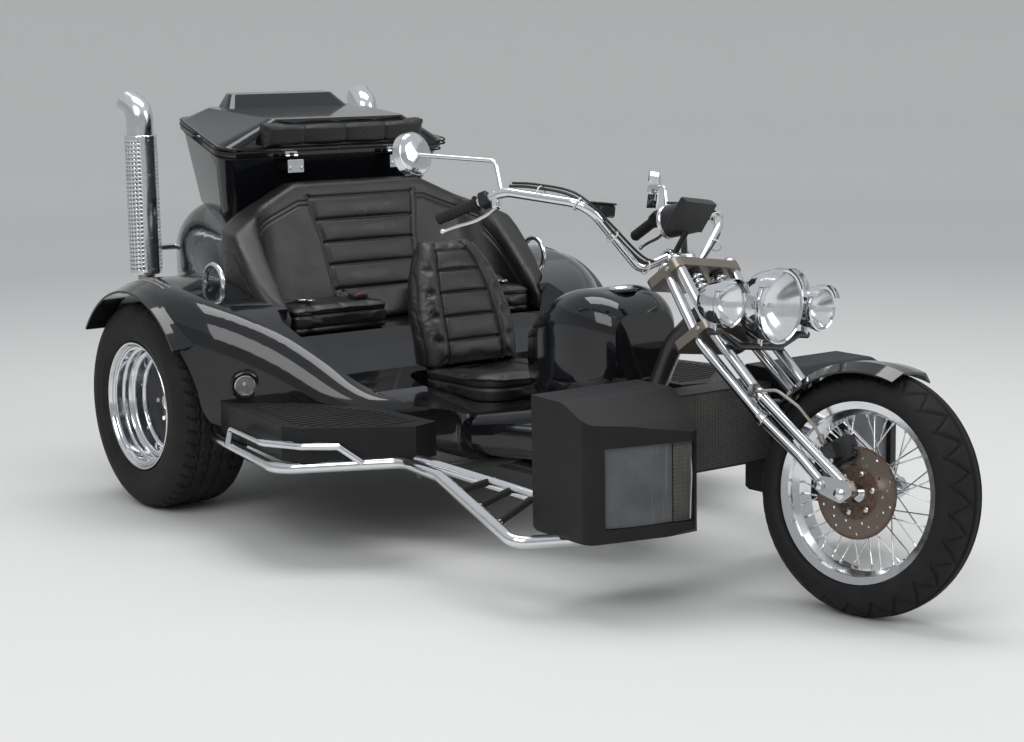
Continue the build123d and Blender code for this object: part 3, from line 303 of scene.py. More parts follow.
class Finish:
    """One material: a Principled shader and what varies over the surface."""

    def __init__(self, name, color, **sockets):
        self.material = bpy.data.materials.new(name)
        self.material.use_nodes = True
        self.tree = self.material.node_tree
        self.shader = self.tree.nodes["Principled BSDF"]
        self.set("Base Color", (*color[:3], 1.0))
        for socket, value in sockets.items():
            self.set(socket.replace("_", " ").title().replace("Ior", "IOR"), value)

    def set(self, socket, value):
        """A socket gets a number, a colour or a Field."""
        if isinstance(value, Field):
            self.tree.links.new(value.socket, self.shader.inputs[socket])
        else:
            self.shader.inputs[socket].default_value = value

    def node(self, kind, output=0, settings=None, **values):
        """Any node: its type, its settings, then the values or links of its sockets by name or number."""
        made = self.tree.nodes.new(kind)
        for key, value in (settings or {}).items():
            setattr(made, key, value)
        for key, value in values.items():
            name = int(key[1:]) if key[0] == "i" and key[1:].isdigit() else key.replace("_", " ")
            if isinstance(name, str):
                name = next(s.name for s in made.inputs if s.name.lower() == name.lower())
            if isinstance(value, Field):
                self.tree.links.new(value.socket, made.inputs[name])
            else:
                made.inputs[name].default_value = value
        return Field(self, made.outputs[output])

    def maths(self, operation, *values):
        """A Math node on numbers or Fields."""
        return self.node("ShaderNodeMath", settings={"operation": operation},
                         **{f"i{k}": v for k, v in enumerate(values)})

    def calc_max(self, one, two):
        """The larger of two values."""
        return self.maths("MAXIMUM", one, two)

    def place(self, scale=(1, 1, 1), turn=(0, 0, 0), shift=(0, 0, 0)):
        """Object coordinates, scaled and turned."""
        where = self.node("ShaderNodeTexCoord", "Object")
        return self.node("ShaderNodeMapping", vector=where, scale=scale, rotation=turn, location=shift)

    def axes(self, where=None):
        """The x, y and z of a vector as Fields."""
        where = where or self.node("ShaderNodeTexCoord", "Object")
        split = self.tree.nodes.new("ShaderNodeSeparateXYZ")
        self.tree.links.new(where.socket, split.inputs[0])
        return [Field(self, split.outputs[k]) for k in range(3)]

    def noise(self, scale, detail=3.0, roughness=0.55, where=None):
        """Cloudy noise from 0 to 1."""
        return self.node("ShaderNodeTexNoise", "Fac", vector=where or self.place(), scale=scale, detail=detail,
                         roughness=roughness)

    def cells(self, scale, feature="F1", where=None):
        """Distance to the nearest cell, or to the cells' edges."""
        return self.node("ShaderNodeTexVoronoi", "Distance", settings={"feature": feature},
                         vector=where or self.place(), scale=scale)

    def span(self, value, low, high, out_low=0.0, out_high=1.0):
        """Value's range low to high carried to out_low to out_high, smoothly and clamped."""
        return self.node("ShaderNodeMapRange", settings={"interpolation_type": "SMOOTHSTEP", "clamp": True},
                         value=value, from_min=low, from_max=high, to_min=out_low, to_max=out_high)

    def blend(self, factor, first, second):
        """Colour first where the factor is 0 and second where it is 1."""
        made = self.tree.nodes.new("ShaderNodeMix")
        made.data_type = "RGBA"
        for socket, value in ((made.inputs[0], factor), (made.inputs[6], first), (made.inputs[7], second)):
            if isinstance(value, Field):
                self.tree.links.new(value.socket, socket)
            elif socket == made.inputs[0]:
                socket.default_value = value
            else:
                socket.default_value = (*value[:3], 1.0)
        return Field(self, made.outputs[2])

    def relief(self, height, strength=0.3, distance=0.001):
        """Bump from a height Field."""
        self.set("Normal", self.node("ShaderNodeBump", height=height, strength=strength, distance=distance))


def paint(name, color, rough=0.06, dust=0.25):
    """Glossy clear-coated paint: faint orange peel, thin dust low down, fine wipe marks in the gloss."""
    f = Finish(name, color, roughness=0.22, coat_weight=1.0, coat_roughness=rough * 0.7,
               specular_ior_level=0.05)
    low = f.span(f.axes()[2], 0.75, 0.2)
    mist = f.noise(5.0, 5.0, 0.65)
    dusty = low * f.span(mist, 0.35, 0.75) * dust
    f.set("Base Color", f.blend(dusty, color, (0.09, 0.082, 0.07)))
    wipes = f.noise(1.0, 4.0, 0.7, f.place((3, 60, 14), (0.3, 0.2, 0.5)))
    f.set("Roughness", f.span(wipes, 0.3, 0.75, rough + 0.05, rough + 0.16) + dusty * 0.5)
    f.relief(f.noise(240.0, 1.0), 0.05, 0.0006)
    return f.material


def leather(name, color, scale=1.0):
    """Grained black leather: small rounded cells with creases, worn lighter on the broad faces."""
    f = Finish(name, color, roughness=0.36, specular_ior_level=0.5)
    grain = f.cells(430.0 * scale, "SMOOTH_F1")
    crease = f.span(f.cells(250.0 * scale, "DISTANCE_TO_EDGE"), 0.0, 0.12)
    wear = f.noise(7.0, 4.0, 0.6)
    f.set("Base Color", f.blend(f.span(wear, 0.35, 0.7), color, tuple(c * 1.4 + 0.001 for c in color)))
    f.set("Roughness", f.span(wear, 0.3, 0.72, 0.26, 0.42))
    f.relief(grain * -0.6 + crease * 0.5 + f.noise(60.0, 3.0) * 0.35, 0.34, 0.0009)
    return f.material


def metal(name, color, rough=0.08, smudge=0.1, metallic=1.0, peel=0.0):
    """Polished metal: cloudy smudges in the gloss and, where asked, a fine peel."""
    f = Finish(name, color, metallic=metallic, roughness=rough)
    cloud = f.noise(18.0, 5.0, 0.65)
    f.set("Roughness", f.span(cloud, 0.3, 0.78, rough, rough + smudge))
    f.set("Base Color", f.blend(f.span(cloud, 0.45, 0.85), color, tuple(c * 0.82 for c in color)))
    if peel:
        f.relief(f.noise(300.0, 2.0), peel, 0.0005)
    return f.material


def plastic(name, color, rough=0.5, grain=0.35, scale=900.0):
    """Moulded plastic: fine leathery pimples and a cloudy sheen."""
    f = Finish(name, color, roughness=rough, specular_ior_level=0.25)
    pimples = f.cells(scale, "SMOOTH_F1")
    cloud = f.noise(9.0, 4.0, 0.6)
    f.set("Base Color", f.blend(f.span(cloud, 0.35, 0.8), color, tuple(c * 1.35 + 0.0015 for c in color)))
    f.set("Roughness", f.span(cloud, 0.3, 0.75, rough - 0.06, rough + 0.1))
    f.relief(pimples, grain, 0.0007)
    return f.material


def rubber(name, color, dusty=0.5):
    """Tyre rubber: matt black with clouds of dust and a fine moulded grain."""
    f = Finish(name, color, roughness=0.72, specular_ior_level=0.2)
    cloud = f.noise(14.0, 6.0, 0.7)
    f.set("Base Color", f.blend(f.span(cloud, 0.4, 0.8) * dusty, color, (0.05, 0.047, 0.041)))
    f.set("Roughness", f.span(cloud, 0.3, 0.8, 0.6, 0.85))
    f.relief(f.noise(500.0, 3.0) * 0.5 + f.cells(900.0) * 0.3, 0.2, 0.0006)
    return f.material


def plain(name, color, **sockets):
    """A finish with a little cloudy change in tone and gloss."""
    f = Finish(name, color, **sockets)
    cloud = f.noise(30.0, 4.0, 0.6)
    f.set("Base Color", f.blend(f.span(cloud, 0.35, 0.8), color, tuple(c * 0.8 for c in color[:3])))
    rough = sockets.get("roughness", 0.4)
    f.set("Roughness", f.span(cloud, 0.3, 0.75, max(rough - 0.04, 0.02), rough + 0.06))
    return f.material


def glass(name, color, alpha=0.35, rough=0.03):
    """Clear lens: thin glass over what is behind, smudged a little."""
    f = Finish(name, color, roughness=rough, specular_ior_level=0.8, coat_weight=1.0, coat_roughness=0.02,
               ior=1.45)
    cloud = f.noise(26.0, 4.0)
    f.set("Alpha", f.span(cloud, 0.3, 0.8, alpha, alpha + 0.06))
    f.set("Roughness", f.span(cloud, 0.3, 0.8, rough, rough + 0.05))
    return f.material


def vehicle(points):
    """Row-frame metres back to vehicle millimetres."""
    return (np.asarray(points, float) - np.array([REAR_X, 0, 0])) * 1000


def mesh_points(mesh):
    """A mesh's vertices as an array."""
    co = np.zeros(len(mesh.vertices) * 3)
    mesh.vertices.foreach_get("co", co)
    return co.reshape(-1, 3)


def mesh_normals(mesh):
    """A mesh's vertex normals as an array."""
    co = np.zeros(len(mesh.vertices) * 3)
    mesh.vertex_normals.foreach_get("vector", co)
    return co.reshape(-1, 3)


def put_points(mesh, points):
    """Writes vertices back."""
    mesh.vertices.foreach_set("co", np.asarray(points, float).ravel())
    mesh.update()


def baked(obj):
    """Replaces an object's mesh by what its modifiers give."""
    depsgraph = bpy.context.evaluated_depsgraph_get()
    made = bpy.data.meshes.new_from_object(obj.evaluated_get(depsgraph))
    obj.modifiers.clear()
    old = obj.data
    obj.data = made
    bpy.data.meshes.remove(old)
    return obj


def soft_copy(name, nodes, voxel, rounding, shrink):
    """A CAD solid's copy, remeshed to even quads, smoothed at its edges and drawn in by a few millimetres."""
    work = bmesh.new()
    for node in nodes:
        work.from_mesh(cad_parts[node].data)
    bmesh.ops.remove_doubles(work, verts=work.verts, dist=1e-5)
    mesh = bpy.data.meshes.new(name)
    work.to_mesh(mesh)
    work.free()
    obj = bpy.data.objects.new(name, mesh)
    bpy.context.scene.collection.objects.link(obj)
    remesh = obj.modifiers.new("even", "REMESH")
    remesh.mode = "VOXEL"
    remesh.voxel_size = voxel / 1000
    smooth = obj.modifiers.new("round", "SMOOTH")
    smooth.iterations = rounding
    smooth.factor = 0.5
    baked(obj)
    put_points(obj.data, mesh_points(obj.data) - mesh_normals(obj.data) * shrink / 1000)
    return obj


def swell(obj, cap, pressure=4.0, stiffness=15.0, frames=20):
    """Cloth under inner pressure for some frames; no point moves further than the cap."""
    start = mesh_points(obj.data)
    cloth = obj.modifiers.new("swell", "CLOTH")
    cloth.settings.use_pressure = True
    cloth.settings.uniform_pressure_force = pressure
    cloth.settings.tension_stiffness = stiffness
    cloth.settings.compression_stiffness = stiffness
    cloth.settings.bending_stiffness = 0.5
    cloth.settings.quality = 5
    cloth.settings.effector_weights.gravity = 0
    cloth.collision_settings.use_collision = False
    cloth.point_cache.frame_start = 1
    cloth.point_cache.frame_end = frames
    scene = bpy.context.scene
    for number in range(1, frames + 1):
        scene.frame_set(number)
    baked(obj)
    scene.frame_set(1)
    move = mesh_points(obj.data) - start
    length = np.linalg.norm(move, axis=1, keepdims=True)
    put_points(obj.data, start + move * np.minimum(1, cap / 1000 / np.maximum(length, 1e-9)))
    return obj


def groove(distance, width, depth):
    """Seam: minus depth at distance 0, rising to 0 over the width, as a rounded valley."""
    return -depth * np.exp(-(np.asarray(distance) / width) ** 2)


def puff(t, height):
    """Crown between two seams: height sqrt(sin(pi t)) for t from 0 to 1, else 0."""
    t = np.clip(t, 0, 1)
    return height * np.sqrt(np.maximum(np.sin(math.pi * t), 0))


def sewn(obj, shape):
    """Subdivides once, then moves points along their normals by the seams and crowns that shape gives."""
    subdivision = obj.modifiers.new("fine", "SUBSURF")
    subdivision.levels = 1
    subdivision.render_levels = 1
    baked(obj)
    points = mesh_points(obj.data)
    normals = mesh_normals(obj.data)
    offset = shape(vehicle(points), normals)
    put_points(obj.data, points + normals * offset[:, None] / 1000)
    obj.data.polygons.foreach_set("use_smooth", [True] * len(obj.data.polygons))
    return obj


def thinned(obj, share):
    """Keeps this share of the triangles, taking them where the skin is flattest."""
    thin = obj.modifiers.new("thin", "DECIMATE")
    thin.ratio = share
    baked(obj)
    obj.data.polygons.foreach_set("use_smooth", [True] * len(obj.data.polygons))


def finished(obj, body, nodes, material, share):
    """Leather, body and what the padded piece stands for, with a share of its triangles."""
    thinned(obj, share)
    obj.data.materials.clear()
    obj.data.materials.append(material)
    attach(obj, body)
    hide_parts(*nodes)


BENCH_CREST = ((0, 1026), (250, 1026), (400, 968), (560, 880), (700, 760))
BENCH_SIDE = ((-200, 1026), (110, 1026), (165, 905), (400, 660), (446, 600))


def crest(points):
    """Height of the bench's top edge at x, y: the lower of its front-view and side-view outlines."""
    front = np.interp(np.abs(points[:, 1]), *zip(*BENCH_CREST))
    side = np.interp(points[:, 0], *zip(*BENCH_SIDE))
    return np.minimum(front, side)


def wrinkles(points, size, amount, seed, waves=7):
    """Sum of sines of tilted phases: slow unevenness of stretched leather."""
    rng = np.random.default_rng(seed)
    total = np.zeros(len(points))
    for _ in range(waves):
        direction = unit(rng.normal(size=3))
        total += np.sin(points @ direction / size * rng.uniform(0.7, 1.9) + rng.uniform(0, 6.3))
    return total * amount / waves


def crowned_rows(rows, inside, y, z, half, height):
    """Puffed rows between level seams: height sqrt(sin) up the row times sqrt(sin) across the panel."""
    total = np.zeros(len(z))
    for low, high in zip(rows[:-1], rows[1:]):
        crown = puff((z - low) / (high - low), height) * puff((y + half) / (2 * half), 1.0)
        total += np.where(inside & (z >= low) & (z < high), crown, 0)
    return total


def bench_shape(points, normals):
    """Centre panel of four crowned rows between piping seams, and a border band along the top."""
    _, y, z = points.T
    inner = normals[:, 0] > 0.25
    half = np.interp(z, (560, 700, 840, 930, 1000), (160, 168, 180, 200, 212))
    in_panel = inner & (np.abs(y) < half + 14) & (z > 655)
    offset = wrinkles(points, 70, 2.2, 4)
    side_seam = groove(np.abs(y) - half, 5.0, 7.0)
    piping = 4.5 * np.exp(-((np.abs(y) - half - 7) / 4.0) ** 2)
    offset += np.where(inner & (z > 650) & (z < 985), side_seam + piping, 0)
    rows = (672, 752, 826, 900, 975)
    offset += crowned_rows(rows, in_panel & (np.abs(y) < half - 3), y, z, half, 9.0)
    for level in rows:
        offset += np.where(in_panel & (np.abs(y) < half), groove(z - level, 5.0, 6.0), 0)
    facing_in = (normals[:, 0] > 0.2) | (normals[:, 1] * y < -60)
    below = crest(points) - z
    band = groove(below - 62, 3.5, 4.5) + groove(below - 76, 3.5, 4.5)
    offset += np.where(facing_in & (np.abs(y) > half + 10), band, 0)
    outer = groove(below - 50, 4.0, 4.0)
    offset += np.where((normals[:, 2] < 0.6) & ~facing_in, outer, 0)
    return offset


def cushion_shape(points, normals):
    """Bench cushions: a seam round the top edge, a crown above it and pulled-in sides."""
    x, y, z = points.T
    top = 565 + 82
    near_y, far_y, rear_x, front_x = 105, 478, 222, 412
    offset = wrinkles(points, 60, 1.6, 9)
    seams = groove(z - (top - 20), 4.0, 5.0) + groove(z - (top - 60), 4.0, 4.0)
    offset += np.where(normals[:, 2] < 0.75, seams, 0)
    across = (np.abs(y) - near_y) / (far_y - near_y)
    along = np.clip((x - rear_x) / (front_x - rear_x) * 0.9 + 0.08, 0, 1)
    dome = puff(across, 16.0) * np.clip(np.sin(math.pi * along), 0, 1) ** 0.6
    offset += np.where(normals[:, 2] > 0.5, dome, 0)
    return offset


def pilot_back_shape(points, normals):
    """Driver's back: raised side bolsters round a centre panel of five crowned rows with buttoned seams."""
    _, y, z = points.T
    front = normals[:, 0] > 0.15
    half = np.interp(z, (470, 600, 700, 780, 840), (104, 99, 91, 76, 54))
    offset = wrinkles(points, 55, 1.8, 21)
    rows = (470, 548, 622, 694, 762, 822)
    in_panel = front & (np.abs(y) < half)
    offset += crowned_rows(rows, in_panel, y, z, half, 7.0)
    for level in rows:
        offset += np.where(in_panel, groove(z - level, 4.5, 6.0), 0)
    offset += np.where(front, groove(np.abs(y) - half, 5.0, 9.0), 0)
    edge = np.interp(z, (470, 622, 762, 854), (170, 178, 146, 92))
    offset += np.where(front & (z < 835), puff((np.abs(y) - half) / np.maximum(edge - half, 1), 10.0), 0)
    for level in rows[1:-1]:
        spot = np.hypot(z - level, np.abs(y) - (half + 34))
        offset += np.where(front, -9.0 * np.exp(-(spot / 13) ** 2), 0)
    offset += np.where(~front, groove(np.abs(np.abs(y) - edge * 0.93), 4.0, 4.0), 0)
    return offset


def pilot_cushion_shape(points, normals):
    """Driver's cushion: hollowed seat between raised sides, a thick front roll and an edge seam."""
    x, y, z = points.T
    top = 362 + 108
    rear_x, length = 655, 400
    up = normals[:, 2] > 0.4
    along = np.clip((x - rear_x) / length, 0, 1)
    offset = wrinkles(points, 55, 1.8, 33)
    hollow = -16 * np.exp(-(y / 120) ** 2) * np.clip(1.25 - along, 0, 1)
    roll = 12 * np.exp(-((along - 0.86) / 0.12) ** 2)
    offset += np.where(up, hollow + roll, 0)
    offset += np.where(up & (along < 0.74), groove(np.abs(y) - 112, 5.0, 7.0), 0)
    offset += np.where(up, groove(x - (rear_x + 0.72 * length), 5.0, 7.0) * (np.abs(y) < 150), 0)
    offset += np.where(~up, groove(z - (top - 30), 4.0, 5.0) + groove(z - (top - 74), 4.0, 4.0), 0)
    return offset


def lid_pad_shape(points, normals):
    """Lid pad: crowned panels between three upright seams."""
    y = points[:, 1]
    panel = 160
    offset = wrinkles(points, 40, 1.2, 17)
    front = normals[:, 0] > 0.3
    for seam in (-panel, 0, panel):
        offset += np.where(front, groove(y - seam, 5.0, 3.0), 0)
    offset += np.where(front, puff(np.mod(y + 2 * panel, panel) / panel, 5.0), 0)
    return offset


def resampled(profile, step):
    """Points along a polyline at an even step, kept corners softened by a short average."""
    p = np.asarray(profile, float)
    length = np.concatenate([[0], np.cumsum(np.linalg.norm(np.diff(p, axis=0), axis=1))])
    s = np.linspace(0, length[-1], int(length[-1] / step) + 1)
    out = np.stack([np.interp(s, length, p[:, k]) for k in range(2)], -1)
    for _ in range(2):
        out[1:-1] = 0.25 * out[:-2] + 0.5 * out[1:-1] + 0.25 * out[2:]
    return out


def tyre_surface(builder, profile, centre, axis, steps, cut):
    """Profile turned about the axle; each point's radius is lowered by cut(angle, place across, radius)."""
    axis = np.asarray(axis, float)
    e1 = np.array([0, 0, 1.0])
    e2 = np.cross(axis, e1)
    t = np.linspace(0, 2 * math.pi, steps, endpoint=False)
    angle, r = np.meshgrid(t, profile[:, 0], indexing="ij")
    _, h = np.meshgrid(t, profile[:, 1], indexing="ij")
    r = r - cut(angle, h, r)
    points = (np.asarray(centre, float) + h[..., None] * axis
              + r[..., None] * (np.cos(angle)[..., None] * e1 + np.sin(angle)[..., None] * e2))
    builder.grid(points, wrap_u=True, wrap_v=True)


def edge_groove(value, half, depth, soft):
    """Flat-bottomed groove: depth where |value| is under half, ramping out over soft."""
    return depth * np.clip((half + soft - np.abs(value)) / soft, 0, 1)


def wave(value, period):
    """Triangle wave from -1 to 1."""
    return 2 * np.abs(2 * (value / period - np.floor(value / period + 0.5))) - 1


def rear_tread(angle, across, r):
    """Ribbed road tread: four zigzag grooves round the tyre, cross slots in the shoulders and fine sipes."""
    run = angle * REAR_R
    pitch = 42.2
    shoulder_y = 74
    on_tread = np.clip((r - (REAR_R - 14)) / 6, 0, 1)
    zig = wave(run, 42.0) * 4.0
    cut = np.zeros_like(r)
    for place in (-64, -22, 22, 64):
        cut = np.maximum(cut, edge_groove(across - place - zig * np.sign(place), 3.6, 7.5, 2.0))
    beyond = np.abs(across) - shoulder_y
    slot = np.mod(run + np.sign(across) * 9 + beyond * 0.35, pitch) - pitch / 2
    cut = np.maximum(cut, np.where(beyond > 0, edge_groove(slot, 3.2, 7.0, 2.0), 0))
    sipe = np.mod(run + across * 0.5, pitch / 2) - 10.5
    cut = np.maximum(cut, np.where(np.abs(across) < 60, edge_groove(sipe, 1.0, 3.0, 1.6), 0))
    return cut * on_tread


def front_tread(angle, across, r):
    """Road tread of a narrow tyre: two rings near the middle and slanted cuts that run to the shoulders."""
    run = angle * FRONT_R
    pitch = 78.0
    on_tread = np.clip((r - (FRONT_R - 52)) / 12, 0, 1)
    a = np.abs(across)
    cut = edge_groove(a - 12, 2.8, 6.0, 1.8)
    slant = edge_groove(np.mod(run + a * 1.1, pitch) - pitch / 2, 3.6 + (a - 19) * 0.03, 6.5, 2.0)
    cut = np.maximum(cut, np.where((a > 19) & (a < 68), slant, 0))
    short = edge_groove(np.mod(run + pitch / 2 - a * 0.7, pitch) - pitch / 2, 2.8, 5.5, 2.0)
    cut = np.maximum(cut, np.where((a > 28) & (a < 60), short, 0))
    return cut * on_tread


REAR_MID_Y = 712.0
REAR_STEPS = 400
FRONT_STEPS = 440


def both_sides(half, corner, fine, coarse):
    """Half profile from crown to inside, evened out to the corner finely and past it coarsely, and mirrored."""
    outer = resampled(half[:corner + 1], fine)
    inner = resampled(half[corner:], coarse)
    one = np.concatenate([outer, inner[1:]])
    other = one[::-1] * np.array([1, -1])
    return np.concatenate([one[:-1], other[:-1]])


def rear_tyre_profile():
    """Closed profile of the rear tyre: round shoulders, bulged walls with two ribs, beads and inside."""
    half = 131
    crown = [(REAR_R, 0), (REAR_R - 1.0, 60), (REAR_R - 3, 92), (REAR_R - 9, 106), (REAR_R - 20, 117),
             (REAR_R - 32, 124)]
    wall = [(REAR_R - 46, 129), (REAR_R - 62, half), (262, half), (244, 127.5), (238, 129.5), (232, 126),
            (216, 119.5), (211, 118.6), (209.8, 108.7), (194, 108.7)]
    inside = [(194, 88), (240, 105), (REAR_R - 24, 106), (REAR_R - 24, 0)]
    return both_sides(crown + wall + inside, len(crown + wall) - 1, 4.0, 14.0)


def rear_tyres():
    """Two wide rear tyres with moulded tread; each stands for its CAD tyre."""
    material = rubber("rear_tyre_rubber_look", (0.012, 0.012, 0.012), 0.5)
    for side, name in SIDES:
        builder = Builder()
        centre = (0, side * REAR_MID_Y, REAR_R)
        tyre_surface(builder, rear_tyre_profile(), centre, (0, 1, 0), REAR_STEPS, rear_tread)
        obj = builder.make(f"rear_tyre_{name}_tread", f"rear_wheel_{name}", [material], 40)
        fix_outward(obj)
        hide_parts(f"rear_tyre_{name}")


def fix_outward(obj):
    """Turns every face of a closed piece outwards."""
    work = bmesh.new()
    work.from_mesh(obj.data)
    bmesh.ops.remove_doubles(work, verts=work.verts, dist=1e-6)
    bmesh.ops.recalc_face_normals(work, faces=work.faces)
    work.to_mesh(obj.data)
    work.free()
    obj.data.polygons.foreach_set("use_smooth", [True] * len(obj.data.polygons))
    obj.data.set_sharp_from_angle(angle=math.radians(42))
    obj.data.update()


def front_tyre():
    """Front tyre: round crown, slanted road tread, plain walls with moulded rings."""
    ring = FRONT_R - CROWN_R
    half = [(FRONT_R, 0), (FRONT_R - 2, 18), (ring + 70, 31), (ring + 60, 48), (ring + 46, 64), (ring + 34, 71),
            (ring + 18, 74.8), (ring + 6, 74.5), (ring - 4, 67), (235.5, 58.5), (234.2, 51.6), (218.4, 51.6)]
    inside = [(218.4, 36), (250, 56), (ring + 46, 50), (FRONT_R - 18, 0)]
    profile = both_sides(half + inside, len(half) - 1, 3.2, 12.0)
    builder = Builder(steered)
    tyre_surface(builder, profile, (WHEELBASE, 0, AXLE_Z), (0, 1, 0), FRONT_STEPS, front_tread)
    material = rubber("front_tyre_rubber_look", (0.011, 0.011, 0.011), 0.35)
    obj = builder.make("front_tyre_tread", "front_wheel", [material], 40)
    fix_outward(obj)
    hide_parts("front_tyre")


def hex_bolt(builder, centre, axis, r, height, slot=0):
    """Six-sided head with a chamfered crown, turned about its axis."""
    profile = [(0.01, height), (r * 0.72, height), (r * 0.98, height * 0.8), (r, height * 0.68), (r, 0),
               (0.01, 0)]
    builder.lathe(profile, centre, axis, steps=6, start=(0.31, 0.2, 1), slot=slot)


def on_circle(centre, radius, t):
    """Point at an angle t on an upright circle across Y: centre + radius (cos t, 0, sin t)."""
    return np.asarray(centre, float) + radius * np.array([math.cos(t), 0, math.sin(t)])


def rear_rims(colors):
    """Deep-dish rims: rolled lip, stepped barrel, dark dished centre, nuts and a chrome cap."""
    chrome = metal("rear_rim_chrome_look", colors.chrome, 0.06, 0.14)
    dark = plain("rim_centre_dark", (0.05, 0.05, 0.055), metallic=0.6, roughness=0.35)
    nut = metal("wheel_nut_chrome", (0.7, 0.7, 0.72), 0.12, 0.1)
    for side, name in SIDES:
        b = Builder()
        centre = np.array([0, side * REAR_MID_Y, REAR_R])
        axis = np.array([0, side, 0])
        lip = [(207.5, 109), (207.5, 117), (205.5, 119.5), (202, 119), (199, 116), (197, 110), (190, 105),
               (188.5, 99), (188.5, 84), (186, 80), (177, 78), (174.5, 74), (174.5, 54), (172, 50), (163, 48),
               (160.5, 44), (160.5, 16), (158, 12), (150, 10)]
        b.lathe(resampled(lip, 2.5), centre, axis, 128)
        back = [(150, 10), (150, 2), (169, 4), (169.5, 40), (175, 62), (182, 70), (184, 98), (193.2, 101),
                (193.2, 108.6), (207.5, 109)]
        b.lathe(back, centre, axis, 96)
        barrel = [(184, 98), (183, -20), (188.5, -60), (188.5, -100), (190, -112), (207.5, -116), (207.5, -109),
                  (193.2, -108.6), (193.2, -20), (193.2, 98)]
        b.lathe(barrel, centre, axis, 96)
        disc = [(169, 6), (152, 8), (138, 2), (120, -14), (100, -24), (84, -20), (72, -8), (60, -2), (46, -2),
                (34, -2)]
        b.lathe(resampled(disc, 4), centre, axis, 96, slot=1)
        rear_face = [(34, -12), (70, -20), (100, -36), (140, -12), (169, 0), (169, 6)]
        b.lathe(rear_face, centre, axis, 72, slot=1)
        b.lathe([(34, -12), (34, -2)], centre, axis, 48, slot=1)
        cap = [(0.5, 22), (14, 21), (24, 17), (31, 9), (34, -2)]
        b.lathe(resampled(cap, 2.5), centre, axis, 48)
        for count, turn, ring, rise, r, height in ((15, 0, 148, 8.5, 5.5, 6), (5, 0.5, 57, -2, 10, 18)):
            for k in range(count):
                place = on_circle(centre + axis * rise, ring, 2 * math.pi * (k + turn) / count)
                hex_bolt(b, place, axis, r, height, slot=2)
        obj = b.make(f"rear_rim_{name}_dish", f"rear_wheel_{name}", [chrome, dark, nut], 30)
        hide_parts(f"rear_rim_{name}")


def front_details():
    """Spoke nipples at the rim and disc bolts of the front wheel."""
    spokes, disc_bolts = 40, 6
    b = Builder(steered)
    for k in range(spokes):
        side = 1 if k % 2 else -1
        lean = 1 if k % 4 < 2 else -1
        at_rim = math.radians(360 / spokes * k)
        start = on_circle((WHEELBASE, side * 37, AXLE_Z), 43, at_rim + lean * math.radians(62))
        end = on_circle((WHEELBASE, side * 5, AXLE_Z), 201, at_rim)
        d = unit(start - end)
        b.pipe([end, end + d * 3, end + d * 15, end + d * 17], [3.6, 3.8, 3.2, 2.2], 8)
    for k in range(disc_bolts):
        place = on_circle((WHEELBASE, -57.2, AXLE_Z), 52, 2 * math.pi * k / disc_bolts + 0.26)
        hex_bolt(b, place, (0, -1, 0), 8, 7)
    steel = metal("spoke_nipple_steel", (0.7, 0.69, 0.66), 0.2, 0.2)
    obj = b.make("front_wheel_fastenings", "front_wheel", [steel], 40)


LAMP_X = 2050.0
LAMP_Z = 766.0
POST_X = LAMP_X - 60


def turned_lamp(b, centre, r, depth, post):
    """Lamp about its own axis, with a rolled ring, parabolic reflector, domed lens, visor and post.

    The bowl's radius is r (1 - t^2.4)^0.55 for t from 0 at the ring to 1 at the back.
    """
    axis = (1, 0, 0)
    t = np.linspace(0, 1, 18)
    bowl = np.stack([np.maximum((r - 1) * (1 - t ** 2.4) ** 0.55, 0.4), -12 - t * (depth - 12)], -1)
    ring = [(r - 7, -2), (r - 6, 3), (r - 2, 5), (r + 2, 3), (r + 3.5, -2), (r + 2.5, -8), (r - 1, -12)]
    b.lathe(ring, centre, axis, 96)
    b.lathe(bowl, centre, axis, 72)
    rho = np.linspace(r - 6, 3, 16)
    b.lathe(np.stack([rho, -2 - (1 - (rho / (r - 6)) ** 2) * depth * 0.42], -1), centre, axis, 72, slot=1)
    rho = np.linspace(r - 6.5, 0.4, 14)
    b.lathe(np.stack([rho, 1 + (1 - (rho / (r - 6.5)) ** 2) * r * 0.12], -1), centre, axis, 72, slot=2)
    b.sphere(np.array(centre) - (depth * 0.27, 0, 0), (11, 7, 7), 8, 12, slot=3)
    visor = [(r + 3, -10), (r + 4.5, r * 0.3), (r + 6, r * 0.3), (r + 4.6, -10)]
    b.lathe(visor, centre, axis, 48, arc=(-62, 62), closed=True)
    b.pipe(post, 10, 16)
    b.lathe([(0.5, 9), (9, 9), (13, 6), (13, 0)], post[1], (0, 0, -1), 24)


def lamps(colors):
    """Headlamp and two auxiliary lamps; each stands for its CAD lamp."""
    chrome = metal("lamp_chrome_look", colors.chrome, 0.05, 0.08)
    reflector = metal("lamp_reflector", (0.86, 0.87, 0.88), 0.12, 0.1)
    lens = glass("lamp_lens", (0.9, 0.92, 0.95), 0.16, 0.02)
    bulb = plain("lamp_bulb", (0.75, 0.72, 0.62), roughness=0.15)
    b = Builder(steered)
    turned_lamp(b, (LAMP_X, 0, LAMP_Z), 98, 122, ((POST_X, 0, LAMP_Z - 88), (POST_X, 0, LAMP_Z - 112)))
    obj = b.make("headlamp_finished", "fork", [chrome, reflector, lens, bulb], 40)
    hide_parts("headlamp")
    b = Builder(steered)
    for side in (-1, 1):
        y = side * 205.0
        turned_lamp(b, (LAMP_X - 10, y, LAMP_Z), 60, 100, ((POST_X, y, LAMP_Z - 45), (POST_X, y, LAMP_Z - 76)))
    obj = b.make("auxiliary_lamps_finished", "fork", [chrome, reflector, lens, bulb], 40)
    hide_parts("auxiliary_lamps")


